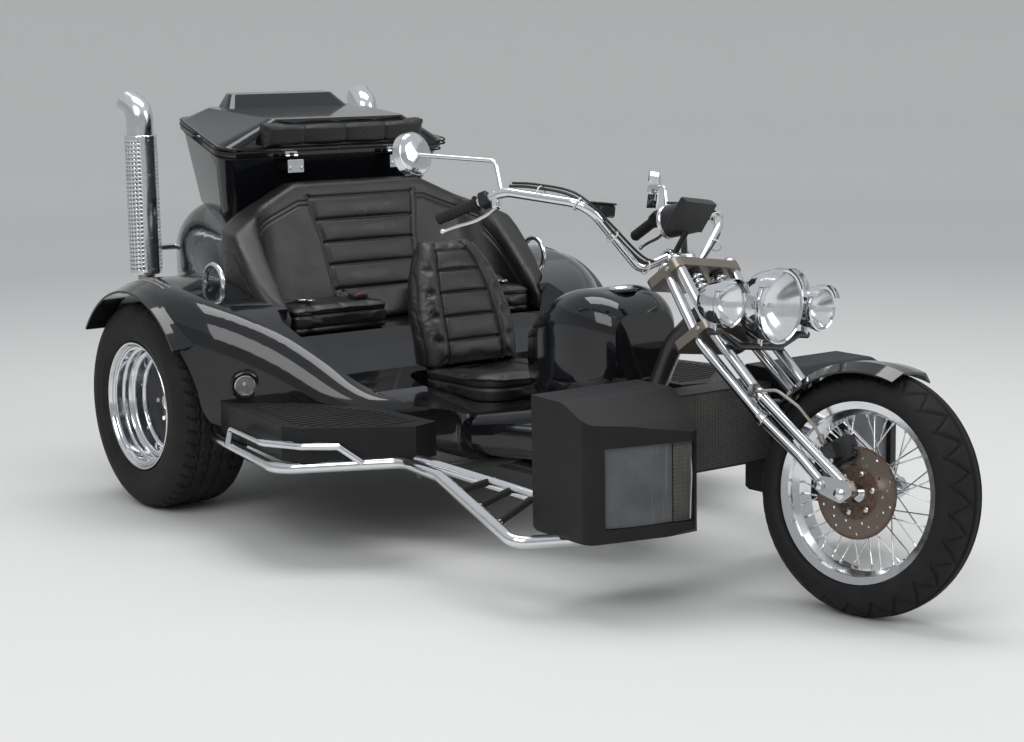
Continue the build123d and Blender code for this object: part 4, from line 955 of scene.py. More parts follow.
def springs(colors):
    """Coil springs: wire on a helix (R cos 2 pi k s, R sin 2 pi k s, s L) round a rod, between two collars."""
    chrome = metal("spring_chrome_look", colors.chrome, 0.07, 0.12)
    dark = plain("spring_seat_dark", (0.05, 0.05, 0.05), metallic=0.5, roughness=0.4)
    low, high = LOWER_S + 13.5, UPPER_S - 13.5
    coils, coil_r, wire_r, end_gap = 9.5, 16.6, 4.0, 6
    s = np.linspace(0, 1, 330)[:, None]
    a = 2 * math.pi * coils * s
    b = Builder(steered)
    for side in (-1, 1):
        start = fork_point(30, side * 52, low)
        end = fork_point(30, side * 52, high)
        axis = unit(end - start)
        e1 = np.array([0.0, 1.0, 0.0])
        e2 = np.cross(axis, e1)
        rise = end_gap + (high - low - 2 * end_gap) * s
        b.pipe(start + rise * axis + coil_r * (np.cos(a) * e1 + np.sin(a) * e2), wire_r, 10)
        b.pipe([start, start + (end - start) * 0.5, end], 9.5, 24)
        for place, way in ((start, 1), (end, -1)):
            seat = [(0.5, 0), (20.5, 0), (20.5, 5 * way), (12, 9 * way), (0.5, 9 * way)]
            b.lathe(seat, place, axis, 40, slot=1)
    obj = b.make("fork_coil_springs", "fork", [chrome, dark], 40)
    fix_outward(obj)
    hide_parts("fork_springs")


GRIP_END = np.array([1175.0, -425, 925])
GRIP_DIR = unit(GRIP_END - (1356, -360, 1013))


def grips():
    """Ribbed grips: radius 15.4 + 1.5 sin^0.6 on the ribs, flanged at the inner end and domed at the outer."""
    core_r, rib, pitch = 15.4, 1.5, 6.2
    s = np.linspace(0, 118, 160)
    ribs = core_r + rib * np.clip(np.sin(s / pitch * math.pi), 0, 1) ** 0.6
    head = [(0.5, 1.5), (8, 1.2), (14, -0.5), (core_r, -4)]
    tail = [(core_r, -122), (22, -123), (22.5, -128), (20, -130), (13.4, -130)]
    b = Builder(steered)
    for side in (-1, 1):
        flip = np.array([1, -side, 1])
        profile = np.concatenate([head, np.stack([ribs, -s - 4], -1), tail])
        b.lathe(profile, (GRIP_END + GRIP_DIR * 6) * flip, GRIP_DIR * flip, 48)
    obj = b.make("hand_grips_ribbed", "fork", [rubber("grip_rubber_look", (0.018, 0.018, 0.018), 0.25)], 30)
    fix_outward(obj)
    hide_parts("hand_grips")


def controls(colors):
    """Levers, switch boxes, master cylinder, mirror glasses, gauge ring and dial, holder jaws and clamps."""
    chrome = metal("control_chrome", colors.chrome, 0.06, 0.1)
    black = plastic("control_black", (0.02, 0.02, 0.021), 0.3, 0.12, 1500)
    mirror = metal("mirror_face", (0.88, 0.89, 0.9), 0.02, 0.02)
    silver = metal("gauge_ring_silver", (0.7, 0.7, 0.7), 0.16, 0.1)
    dial = plain("gauge_dial", (0.02, 0.02, 0.024), roughness=0.25)
    pale = plain("gauge_marks", (0.75, 0.75, 0.72), roughness=0.5)
    b = Builder(steered)
    for side in (-1, 1):
        flip = np.array([1, -side, 1])
        end = GRIP_END * flip
        d = GRIP_DIR * flip
        inner = end - d * 132
        ahead = np.array([0.55, 0, -0.35])
        ahead = unit(ahead - d * (ahead @ d))
        basis = np.array([d, ahead, np.cross(d, ahead) * side])
        b.box(inner - d * 16, (30, 42, 38), basis, 5, slot=1)
        b.box(inner - d * 46 + ahead * 14, (20, 52, 24), basis, 4, slot=0)
        lever = smooth_path([inner + d * along + ahead * out for along, out in
                             ((-44, 36), (-14, 46), (30, 50), (84, 44), (128, 42))], 8)
        size = np.interp(np.linspace(0, 1, len(lever)), (0, 0.15, 0.6, 0.93, 1), (6.5, 6.0, 5.0, 4.8, 7.5))
        b.pipe(lever, size, 14)
        b.sphere(lever[-1], 8.6, 8, 14)
        glass_at = np.array([1071.0, -450, 1098]) if side == 1 else np.array([1250.0, 400, 1072])
        face = np.array([-0.966, 0, -0.259]) if side == 1 else np.array([-0.7508, -0.6607, 0])
        b.lathe([(0.5, 13.2), (55, 13.2)], glass_at, face, 64, slot=2)
        rim = [(55, 13.2), (56, 15), (60, 15.4), (62.6, 13), (62.8, 6), (62.4, -4), (62, -8)]
        b.lathe(rim, glass_at, face, 64)
        b.lathe([(62, -8), (58, -15), (48, -20), (34, -23), (0.5, -25)], glass_at, face, 64)
    reservoir = np.array([1588.0, -215, 982])
    b.box(reservoir, (46, 62, 34), None, 5, slot=1)
    b.box(reservoir + (0, 0, 20), (48, 64, 6), None, 2, slot=1)
    for x, y in ((-16, -24), (16, -24), (-16, 24), (16, 24)):
        b.lathe([(0.4, 3), (3.6, 3), (4.2, 1.5), (4.2, 0)], reservoir + (x, y, 23), (0, 0, 1), 12, slot=3)
    axis = np.array([-94.0, 0, -22]) / math.hypot(94, 22)
    at = np.array([1618.0, 34, 968])
    b.lathe([(40, 1), (41, 5), (45, 6), (48.5, 3), (48.5, -5), (46, -8)], at, axis, 72, slot=3)
    b.lathe([(0.4, 1.2), (40, 1.2)], at, axis, 64, slot=4)
    side_dir = np.array([0.0, 1, 0])
    up_dir = np.cross(axis, side_dir)

    def dial_bar(a, radius, rise, size, bevel):
        """A thin bar on the dial, along the ray at angle a from the top."""
        out = np.cos(a) * up_dir + np.sin(a) * side_dir
        b.box(at + axis * rise + out * radius, size, np.array([out, np.cross(out, axis), axis]), bevel, slot=5)

    marks, sweep, needle_at = 24, 260, -1.9
    for k in range(marks + 1):
        long = 6.0 if k % 3 == 0 else 3.5
        dial_bar(math.radians(sweep * (k / marks - 0.5)), 36 - long / 2, 1.6, (long, 0.9, 0.5), 0.1)
    dial_bar(needle_at, 13, 2.6, (32, 1.6, 0.7), 0.2)
    b.lathe([(0.3, 5), (4, 4.6), (5, 2)], at, axis, 20, slot=1)
    lean = math.radians(-60)
    plane = np.array([math.cos(lean), 0, -math.sin(lean)])
    normal = np.array([math.sin(lean), 0, math.cos(lean)])
    hold = np.array([1776.0, -62, 990])
    frame_basis = np.array([plane, (0, 1, 0), normal])
    for y in (-58, 58):
        b.box(hold + np.array([0, y, 0]) + normal * 14, (84, 8, 8), frame_basis, 2, slot=1)
    for x in (-40, 40):
        b.box(hold + plane * x + normal * 14, (7, 116, 8), frame_basis, 2, slot=1)
    for side in (-1, 1):
        clamp = fork_point(-20, side * 40, UPPER_S + 75)
        b.lathe([(13.4, -13), (19, -13), (20, -11), (20, 11), (19, 13), (13.4, 13)], clamp, (0, 1, 0), 40)
        for y in (-7, 7):
            hex_bolt(b, clamp + (-20.0, y, 3), (-0.95, 0, 0.2), 4.5, 5, slot=3)
    obj = b.make("bar_controls", "fork", [chrome, black, mirror, silver, dial, pale], 35)
    fix_outward(obj)


def fork_fittings(colors):
    """Yoke bolts and caps, rocker pivots, leg collars, hose ferrules, caliper bolts, cables tied to the bar."""
    chrome = metal("fork_fitting_chrome", colors.chrome, 0.08, 0.12)
    steel = metal("fork_bolt_steel", (0.45, 0.44, 0.42), 0.3, 0.15)
    cable = plain("cable_black", (0.02, 0.02, 0.02), roughness=0.4)
    tie = plain("cable_tie_white", (0.62, 0.62, 0.6), roughness=0.5)
    b = Builder(steered)
    up = AXIS
    for side in (-1, 1):
        for n in (0, 42):
            top = fork_point(n, side * LEG_Y, UPPER_S + 13)
            b.lathe([(0.5, 16), (9, 16), (16, 12), (20, 8), (20.5, 0), (16, -1)], top, up, 40)
            hex_bolt(b, top + up * 16, up, 7, 5, slot=1)
        for s in (UPPER_S, LOWER_S):
            side_at = fork_point(20, side * (LEG_Y + 25), s)
            hex_bolt(b, side_at, (0, side, 0), 7.5, 6, slot=1)
        for n, s in ((122, 48), (160, 0)):
            pivot = fork_point(n, side * (LEG_Y + 15), s)
            hex_bolt(b, pivot, (0, side, 0), 12, 9, slot=0)
            b.lathe([(15, 0), (15, 3), (12, 4), (11, 4)], pivot, (0, side, 0), 30, slot=1)
        axle = np.array([WHEELBASE, side * 132.0, AXLE_Z])
        b.lathe([(0.5, 8), (10, 8), (15, 5), (16, 0), (10, -1)], axle, (0, side, 0), 36)
        for n0, s0, n1, s1 in ((77, 354, 100, 266), (50, 300, 76, 225)):
            p0, p1 = fork_point(n0, side * LEG_Y, s0), fork_point(n1, side * LEG_Y, s1)
            b.lathe([(14.5, 0), (18.5, 0), (19, 2), (19, 20), (18.5, 22), (14.5, 22)], p0, p1 - p0, 36)
    stem = fork_point(0, 0, UPPER_S + 13)
    b.lathe([(0.5, 14), (14, 14), (18, 11), (20, 6), (20, 0)], stem, up, 6, slot=0)
    b.lathe([(20, 0), (27, 0), (27, 3), (24, 5), (18, 5)], stem, up, 48, slot=0)
    b.lathe([(20, -1), (20, 12), (11, 13), (0.5, 13)], (2095, -LEG_Y - 18, 546), (-1, 0, -0.1), 24, slot=1)
    ferrule = [(4.2, -16), (6, -16), (6.4, 0), (8.5, 1), (8.5, 9), (4.2, 10)]
    b.lathe(ferrule, (2278, -LEG_Y + 36, 440), (0.3, 0.2, -0.93), 24, slot=1)
    for x, z in ((-86, 108), (-40, 78)):
        hex_bolt(b, np.array([WHEELBASE + x, -118.5, AXLE_Z + z]), (0, -1, 0), 7, 6, slot=1)
    along_bar = [(1356, -343, 1030), (1440, -334, 1030), (1560, -312, 1014), (1626, -262, 956),
                 (1664, -130, 858)]
    right = smooth_path(along_bar + [(1690, -60, 846), (1716, -44, 812)], 10)
    left = smooth_path(mirrored(along_bar + [(1690, -70, 850), (1716, -52, 812)]), 10)
    for path, r in ((right, 4.2), (right + (6.0, 4, 9), 3.6), (left, 4.2)):
        b.pipe(path, r, 10, slot=2)
    strap = [(18.5, -2.2), (20, -2.2), (20, 2.2), (18.5, 2.2)]
    for k in (12, 22, 33, 42):
        for line in (right, left):
            b.lathe(strap, line[k] - (0, 0, 12.0), line[k + 1] - line[k - 1], 28, slot=3, closed=True)
    obj = b.make("fork_fittings", "fork", [chrome, steel, cable, tie], 35)
    fix_outward(obj)


STACK_X = -610.0
STACK_Y = 468.0
STACK_Z = 692.0
SHIELD_R = 56.6
SHIELD_LENGTH = 486.0
FOOT_Y = 250
FOOT_Z = 330
STRAP_Z = 780


def pierced_tube(b, base, r, length, columns, rows, hole, bare, slot=0):
    """Cylinder wall of cells, each with a ring of eight points at the hole's radius, so that holes are open.

    A cell's outer ring lies on its border and its inner ring at centre + hole (cos t, sin t). Both are laid on
    the cylinder as x = r cos(u / r), y = r sin(u / r), z = v. Cells within the bare strip stay closed.
    """
    cell_u = 2 * math.pi * r / columns
    cell_v = length / rows
    t = np.arange(8) * math.pi / 4
    ring = np.stack([np.cos(t), np.sin(t)], -1)
    border = np.clip(ring * 1.42, -1, 1) * (cell_u / 2, cell_v / 2)
    inner = ring * hole
    for i in range(columns):
        for j in range(rows):
            mid = np.array([(i + 0.5) * cell_u, (j + 0.5) * cell_v])
            turn = math.degrees(mid[0] / r)
            turn = min(turn, 360 - turn)
            whole = turn < bare or j == 0 or j == rows - 1
            flat = np.concatenate([mid + border, mid + inner])
            angle = flat[:, 0] / r
            points = np.stack([r * np.cos(angle), r * np.sin(angle), flat[:, 1]], -1) + base
            faces = [(k, (k + 1) % 8, 8 + (k + 1) % 8, 8 + k) for k in range(8)]
            if whole:
                faces.append(tuple(range(8, 16)))
            b.add(points, faces, slot)


def stacks(colors):
    """Exhaust stacks: pierced shield over a dark pipe, bands, bolts, hollow swept tip, sooty inside and closed
    by a dark disc of painted shade, foot pipe and strap.
    """
    chrome = metal("exhaust_chrome_look", colors.chrome, 0.1, 0.2)
    # Soot-dark finish for the tip's inside; the disc across the bore in it is painted shade.
    dark = plain("exhaust_soot_and_painted_shade", (0.025, 0.022, 0.02), roughness=0.8)
    pipe_metal = metal("exhaust_pipe_stained", (0.36, 0.31, 0.26), 0.28, 0.3)
    steel = metal("exhaust_bolt_steel", (0.5, 0.5, 0.5), 0.25, 0.15)
    for side, name in SIDES:
        b = Builder()
        base = np.array([STACK_X, side * STACK_Y, STACK_Z])
        pierced_tube(b, base, SHIELD_R, SHIELD_LENGTH, columns=26, rows=34, hole=4.6, bare=22)
        shield = b.make(f"stack_shield_{name}", "chassis", [chrome], 40)
        fix_outward(shield)
        solid = shield.modifiers.new("thickness", "SOLIDIFY")
        solid.thickness = 0.0012
        solid.offset = -1
        baked(shield)
        b = Builder()
        up = np.array([0, 0, 1.0])
        b.lathe([(47, 0), (47, SHIELD_LENGTH)], base, up, 48, slot=2)
        for z in (0, SHIELD_LENGTH - 10):
            band = [(50, z - 1), (57.9, z - 1), (58, z + 1), (58, z + 10), (57.9, z + 12), (50, z + 12)]
            b.lathe(band, base, up, 72, closed=True)
        for z in (150, 330):
            b.lathe([(SHIELD_R + 0.2, z - 6), (58, z - 5), (58, z + 5), (SHIELD_R + 0.2, z + 6)], base, up, 72)
        for z in (18, 128, 238, 348, 468):
            hex_bolt(b, base + np.array([57.0, 0, z]), (1, 0, 0), 4.2, 3.2, slot=3)
        tip = rounded_path([base + (0, 0, 470), base + (0, 0, 570), base + (-60, side * 14, 598)], 52, 14)
        tangent = np.gradient(tip, axis=0)
        b.pipe(tip, np.r_[np.full(len(tip) - 1, 47.6), 48.0], 56, caps=False)
        b.pipe(tip[2:], 45.4, 56, caps=False, slot=1)
        end = tip[-1]
        b.lathe([(45.4, 0), (45.6, 1.4), (47.4, 1.4), (48.0, 0)], end, tangent[-1], 56)
        # Dark disc across the bore: painted shade standing in for the pipe's depth.
        b.lathe([(0.5, 0), (45.2, 0)], tip[4], tangent[4], 56, slot=1)
        foot = rounded_path([(STACK_X, side * STACK_Y, 700), (STACK_X, side * STACK_Y, FOOT_Z),
                             (STACK_X, side * FOOT_Y, FOOT_Z), (-500, side * FOOT_Y, FOOT_Z)], 70, 14)
        b.pipe(foot, 30, 32, slot=2)
        collar = [(30.2, -16), (34, -15), (34.6, 0), (34, 15), (30.2, 16)]
        b.lathe(collar, (STACK_X, side * STACK_Y, 640), up, 40, slot=3)
        flange = [(30.2, 0), (42, 0), (42, 8), (30.2, 8)]
        b.lathe(flange, (-508, side * FOOT_Y, FOOT_Z), (1, 0, 0), 40, slot=3)
        strap = [(STACK_X, side * STACK_Y, STRAP_Z), (STACK_X, side * 340, STRAP_Z),
                 (-552, side * 340, STRAP_Z)]
        b.pipe(rounded_path(strap, 24, 10), 11.5, 20, slot=3)
        hoop = [(57.4, -14), (59, -13), (59, 13), (57.4, 14)]
        b.lathe(hoop, (STACK_X, side * STACK_Y, STRAP_Z), up, 72, slot=3)
        obj = b.make(f"exhaust_stack_{name}_inside", "chassis", [chrome, dark, pipe_metal, steel], 40)
        if side == 1:
            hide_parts("exhaust_stacks")


def trunk_fittings(colors):
    """Trunk: dark rim seals along both flanges, hinge plates with screws, and a lock."""
    chrome = metal("trunk_fitting_chrome", colors.chrome, 0.07, 0.1)
    seal = rubber("trunk_seal_rubber", (0.02, 0.02, 0.021), 0.2)
    steel = metal("trunk_screw_steel", (0.55, 0.55, 0.55), 0.22, 0.1)
    tilt = math.radians(11.5)
    back = np.array([-math.cos(tilt), 0, math.sin(tilt)])
    up = np.array([math.sin(tilt), 0, math.cos(tilt)])
    origin = np.array([-52.0, 0, 1112])

    def at(u, y, w):
        """Point of the tilted trunk: u back along its top, y to the left, w up from it."""
        return origin + back * u + np.array([0, y, 0]) + up * w

    def rim(half_front, half_rear, front, rear, w):
        """Path round the trunk's trapezoid flange, open by a gap at the middle of its front."""
        points = [at(front, 0, w), at(front, half_front, w), at(rear, half_rear, w), at(rear, -half_rear, w),
                  at(front, -half_front, w), at(front, -8, w)]
        return rounded_path(points, 60, 10)

    hinge_y = 205.0
    b = Builder()
    b.pipe(rim(463, 367, -5, 491, 16), 3.4, 10, slot=1)
    b.pipe(rim(463, 367, -5, 491, 28), 2.6, 10, slot=1)
    for side in (-1, 1):
        for dy in (-15, 15):
            spot = (-38, side * hinge_y + dy, 1127.2)
            b.lathe([(0.3, 2.4), (3.6, 2.2), (5, 0.8), (5.2, 0)], spot, (0, 0, 1), 16, slot=2)
    lid = b.make("lid_fittings", "lid", [chrome, seal, steel], 35)
    b = Builder()
    b.pipe(rim(454, 358, 6, 480, -7), 3.0, 10, slot=1)
    for side in (-1, 1):
        plate_at = np.array([-1.6, side * hinge_y, 1078.0])
        b.box(plate_at, (3, 62, 44), None, 1.2)
        for dy in (-22, 22):
            spot = plate_at + (1.5, dy, -6)
            b.lathe([(0.3, 3.4), (4.2, 3.0), (6, 1.0), (6.2, 0)], spot, (1, 0, 0), 20, slot=2)
    lock = at(482, 0, -46)
    b.box(lock, (10, 74, 46), np.array([back, (0, 1, 0), up]), 3)
    b.lathe([(0.3, 5), (9, 4.6), (11, 2), (11, 0)], lock + back * 5, back, 28, slot=2)
    box = b.make("trunk_box_fittings", "chassis", [chrome, seal, steel], 35)


def body_trim():
    """Light edge lines of the flares: arcs of radius r about a point near each rear axle end."""
    light = metal("flare_edge_light", (0.62, 0.63, 0.64), 0.2, 0.12)
    r, foot_z = 412.0, 560
    t = np.radians(np.linspace(-6, 118, 90)) - 0.45
    b = Builder()
    for side in (-1, 1):
        arc = np.stack([36 + r * np.sin(t), np.full_like(t, side * 793.5), 330 + r * np.cos(t)], -1)
        b.pipe(arc[arc[:, 2] > foot_z], 2.2, 8)
    obj = b.make("body_trim_details", "chassis", [light], 35)


def round_lamp(b, rim, axis, r, depth, dome, lens_slot):
    """Lamp set into the body: closed cup, parabolic reflector, domed lens with rings, and a bulb."""
    s = np.linspace(1, 0, 14)
    inner = r - 8
    reflector = np.stack([np.maximum((inner - 1) * s, 0.4), -5 - (depth - 9) * (1 - s ** 2)], -1)
    cup = [(0.4, -depth), (r - 2, -depth), (r, -depth + 2), (r + 0.3, -16), (r + 5, -13), (r + 6.5, -5),
           (r + 5, 1), (r + 1, 4), (r - 4, 3), (inner, -3), (inner - 1, -5)]
    b.lathe(cup, rim, axis, 72)
    b.lathe(reflector, rim, axis, 72, slot=4)
    ring = [(inner + 1, -2.5), (inner + 0.6, 0.6), (inner - 1.2, 1.0), (inner - 2.2, -0.4), (inner - 1.6, -3)]
    b.lathe(ring, rim, axis, 64, slot=4)
    s = np.linspace(1, 0, 12)
    lens = np.stack([np.maximum((inner + 0.5) * s, 0.4), dome * (1 - s ** 2) - 1], -1)
    b.lathe(lens, rim, axis, 64, slot=lens_slot)
    for share in (0.8, 0.6, 0.4):
        ring, h = inner * share, dome * (1 - share ** 2) - 1
        b.lathe([(ring + 0.9, h - 0.2), (ring, h + 0.9), (ring - 0.9, h + 0.3)], rim, axis, 48, slot=lens_slot)
    b.sphere(np.asarray(rim) - np.asarray(axis) * depth * 0.45, (6.5, 6.5, 6.5), 8, 14, slot=3)


def body_lamps(colors):
    """Clear marker lamps on the fenders' fronts and red tail lamps behind; each stands for its CAD lamp."""
    bezel = plain("body_lamp_bezel", (0.012, 0.012, 0.013), roughness=0.12)
    mirror = metal("body_lamp_reflector", (0.8, 0.8, 0.81), 0.16, 0.12)
    clear = glass("marker_lens", (0.93, 0.93, 0.9), 0.14, 0.03)
    red = glass("tail_lens_red", (0.5, 0.01, 0.012), 0.8, 0.08)
    bulb = plain("marker_bulb", (0.75, 0.62, 0.35), roughness=0.2)
    b = Builder()
    for side in (-1, 1):
        rim, axis = (508.0, side * 715.2, 450.4), unit((30.0, side * 12, -6))
        round_lamp(b, rim, axis, r=40.0, depth=38.0, dome=5.0, lens_slot=1)
    obj = b.make("marker_lamps_finished", "chassis", [bezel, clear, red, bulb, mirror], 35)
    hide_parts("marker_lamps")
    b = Builder()
    for side in (-1, 1):
        round_lamp(b, (-579.0, side * 270, 800), (-1.0, 0, 0), r=42.0, depth=48.0, dome=8.0, lens_slot=2)
    chrome = metal("body_lamp_chrome", colors.chrome, 0.05, 0.1)
    obj = b.make("tail_lamps_finished", "chassis", [chrome, clear, red, bulb, mirror], 35)
    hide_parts("tail_lamps")


def housing_details():
    """Radiator pods: bowed blanking plates, mesh beside them, mesh wall of the recess and bright edge lines."""
    dark = plastic("grille_dark", (0.012, 0.012, 0.0125), 0.45, 0.2, 1400)
    bright = metal("fin_edge", (0.4, 0.4, 0.4), 0.25, 0.15)
    mesh = metal("grille_mesh_grey", (0.2, 0.195, 0.185), 0.4, 0.2, 0.8)
    plate = plate_finish()
    normal = unit((1.0, 0.246, 0))
    across = unit((-77.0, 313, 0))
    middle = np.array([2090.0, 418, 340]) - normal * 74
    upright = np.array([0, 0, 1.0])
    plate_mid, plate_half, plate_bow, half_height = 28, 98, 7, 104
    net_from, net_to = -125, -73
    plates = Builder()
    b = Builder()
    for side in (1, -1):
        flip = np.array([1, side, 1])
        u = across * flip
        n = normal * flip
        centre = middle * flip
        s = np.linspace(-1, 1, 15)[:, None]
        bow = centre + u * (plate_mid + plate_half * s) + n * (plate_bow * (1 - s * s) - 5)
        corners = ((2, -half_height), (2, half_height), (-2, half_height), (-2, -half_height))
        loop = np.stack([bow + n * thick + upright * h for thick, h in corners], 1)
        plates.grid(loop, wrap_v=True, cap_start=True, cap_end=True)
        basis = np.array([u, n, upright])
        for place in np.linspace(net_from, net_to, 15):
            b.box(centre + u * place, (1.2, 3.0, 2 * half_height), basis, 0.3, 2)
        for height in np.linspace(2 - half_height, half_height - 2, 48):
            place = centre + u * (net_from + net_to) / 2 + upright * height
            b.box(place, (net_to - net_from + 2, 2.6, 1.1), basis, 0.3, 2)
        edge = rounded_path(np.array([(2034, 283, 446), (2050, 279, 380), (2046, 283, 240)]) * flip, 40, 10)
        b.pipe(edge, 3.0, 12, slot=1)
    wall_x, wall_z, wall_y, wall_half = 1852.0, 412, 196, 106
    for y in np.linspace(1 - wall_y, wall_y - 1, 71):
        b.box((wall_x, y, wall_z), (1.6, 1.2, 2 * wall_half), None, 0.3, 2)
    for z in np.linspace(2 - wall_half, wall_half - 2, 40):
        b.box((wall_x + 0.4, 0, wall_z + z), (1.6, 2 * wall_y, 1.2), None, 0.3, 2)
    for side in (-1, 1):
        b.box((wall_x - 0.5, side * wall_y, wall_z), (4, 5, 2 * wall_half + 4), None, 1)
        b.box((wall_x - 0.5, 0, wall_z + side * wall_half), (4, 2 * wall_y + 4, 5), None, 1)
    obj = b.make("radiator_grilles", "chassis", [dark, bright, mesh], 35)
    fix_outward(obj)
    obj = plates.make("bowed_blanking_plates", "chassis", [plate], 40)
    fix_outward(obj)
    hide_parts("blanking_plates")


def steps_and_rails(colors):
    """Treads and screws on the step boxes, sleeves on the rungs, step guards round the boxes' corners."""
    pad = rubber("step_rib_rubber", (0.022, 0.022, 0.022), 0.6)
    sleeve = rubber("rung_sleeve_rubber", (0.016, 0.016, 0.016), 0.3)
    steel = metal("step_screw_steel", (0.5, 0.5, 0.5), 0.3, 0.15)
    chrome = metal("step_guard_chrome", colors.chrome, 0.06, 0.12)
    guard = np.array([(880, 878, 350), (918, 871, 350), (966, 852, 350), (1020, 830, 350), (1054, 788, 350),
                      (1084, 744, 349)])
    b = Builder()
    for side in (-1, 1):
        for x in range(640, 1121, 32):
            outer = np.interp(x, (520, 940, 1010, 1200), (760, 826, 800, 560)) - 22
            inner = np.interp(x, (640, 700, 900, 1150), (600, 575, 500, 490)) + 14
            if outer - inner > 30:
                b.box((x, side * (outer + inner) / 2, 401.2), (7, outer - inner, 3.4), None, 1.2)
        for share in (0.25, 0.5, 0.75):
            outer_at = np.array([1380 + share * 420, side * (610 + share * 58), 292 - share * 102])
            inner_at = np.array([1380 + share * 310, side * (486 - share * 46), 286 - share * 46])
            way = outer_at - inner_at
            b.pipe([inner_at + way * 0.14, inner_at + way * 0.5, outer_at - way * 0.14], 10.5, 20, slot=1)
        for x, y in ((560, 752), (700, 782), (860, 806), (1010, 770), (1120, 610)):
            b.lathe([(0.3, 2.6), (5, 2.3), (7, 0.8), (7.2, 0)], (x, side * y, 400), (0, 0, 1), 18, slot=2)
        b.pipe(rounded_path(guard * (1, side, 1), 26, 8), 10.3, 20, slot=3)
    obj = b.make("step_treads_and_sleeves", "chassis", [pad, sleeve, steel, chrome], 35)
    fix_outward(obj)


BELT_WIDTH = 44
BELT_THICK = 2.2


def strap_surface(b, path, side_dir=(0, 1, 0), slot=0):
    """Flat webbing: a slightly crowned rectangle carried along a path, its width along side_dir."""
    tangent = unit(np.gradient(path, axis=0))
    w = unit(np.asarray(side_dir, float) - tangent * (tangent @ side_dir)[:, None])
    n = np.cross(tangent, w)
    corners = [(-0.5, -0.5), (-0.46, -0.62), (0, -0.66), (0.46, -0.62), (0.5, -0.5), (0.5, 0.5), (0.46, 0.62),
               (0, 0.66), (-0.46, 0.62), (-0.5, 0.5)]
    rings = np.stack([path + w * BELT_WIDTH * a + n * BELT_THICK * c for a, c in corners], 1)
    b.grid(rings, wrap_v=True, cap_start=True, cap_end=True, slot=slot)


def belts(colors):
    """Two lap belts on the bench: webbing out of the seat's crease, with a latch and with a tongue."""
    web = Finish("belt_webbing", (0.02, 0.02, 0.021), roughness=0.75)
    weave = web.maths("SINE", web.axes()[0] * 4000) * web.maths("SINE", web.axes()[1] * 3000)
    web.relief(weave, 0.3, 0.0005)
    chrome = metal("belt_chrome", colors.chrome, 0.08, 0.12)
    black = plastic("belt_latch_black", (0.02, 0.02, 0.02), 0.35, 0.1, 1500)
    red = plain("belt_button_red", (0.4, 0.02, 0.015), roughness=0.35)
    b = Builder()
    for side in (-1, 1):
        y0, y1 = side * 150.0, side * 430.0
        one = smooth_path([(206, y0, 670), (222, y0, 676), (262, y0 + side * 10, 674),
                           (300, y0 + side * 26, 670), (330, y0 + side * 40, 666)], 8)
        strap_surface(b, one)
        b.box(one[-1] + (16, side * 6, 3), (46, 52, 16), None, 4, slot=2)
        b.box(one[-1] + (30, side * 6, 11.5), (14, 26, 3), None, 1, slot=3)
        two = smooth_path([(206, y1, 672), (226, y1, 678), (270, y1 - side * 14, 675),
                           (312, y1 - side * 34, 670)], 8)
        strap_surface(b, two)
        b.box(two[-1] + (14, -side * 6, 2), (34, 48, 3.2), None, 1, slot=1)
        b.box(two[-1] + (44, -side * 12, 2), (30, 24, 2.4), None, 1, slot=1)
    obj = b.make("lap_belts", "chassis", [web.material, chrome, black, red], 35)
    fix_outward(obj)


def small_fittings(colors):
    """Tank cap with its filler ring, ring of the gear lever's knob, and plugs in the frame's rails."""
    chrome = metal("small_fitting_chrome", colors.chrome, 0.07, 0.12)
    dark = plain("frame_plug_dark", (0.02, 0.02, 0.02), roughness=0.5)
    b = Builder()
    cap_at, cap_axis = (1440, 0, 762), (-0.05, 0, 1)
    b.lathe([(0.4, 13), (26, 12), (33, 9), (36, 3), (36, -4)], cap_at, cap_axis, 56)
    b.lathe([(36, 3), (44, 2), (45, -4)], cap_at, cap_axis, 56, slot=1)
    b.lathe([(9, -3), (13, -2), (14, 5), (11, 9), (9, 10)], (1109, 150, 566), (0.1, 0, 1), 32)
    for side in (-1, 1):
        for x, way in ((1520, 1), (-520, -1)):
            plug = [(21.9, 0), (21.9, 1), (19, 3), (0.5, 3)]
            b.lathe(plug, (x, side * 120, 215), (way, 0, 0), 32, slot=1)
    obj = b.make("small_fittings", "chassis", [chrome, dark], 35)
    fix_outward(obj)


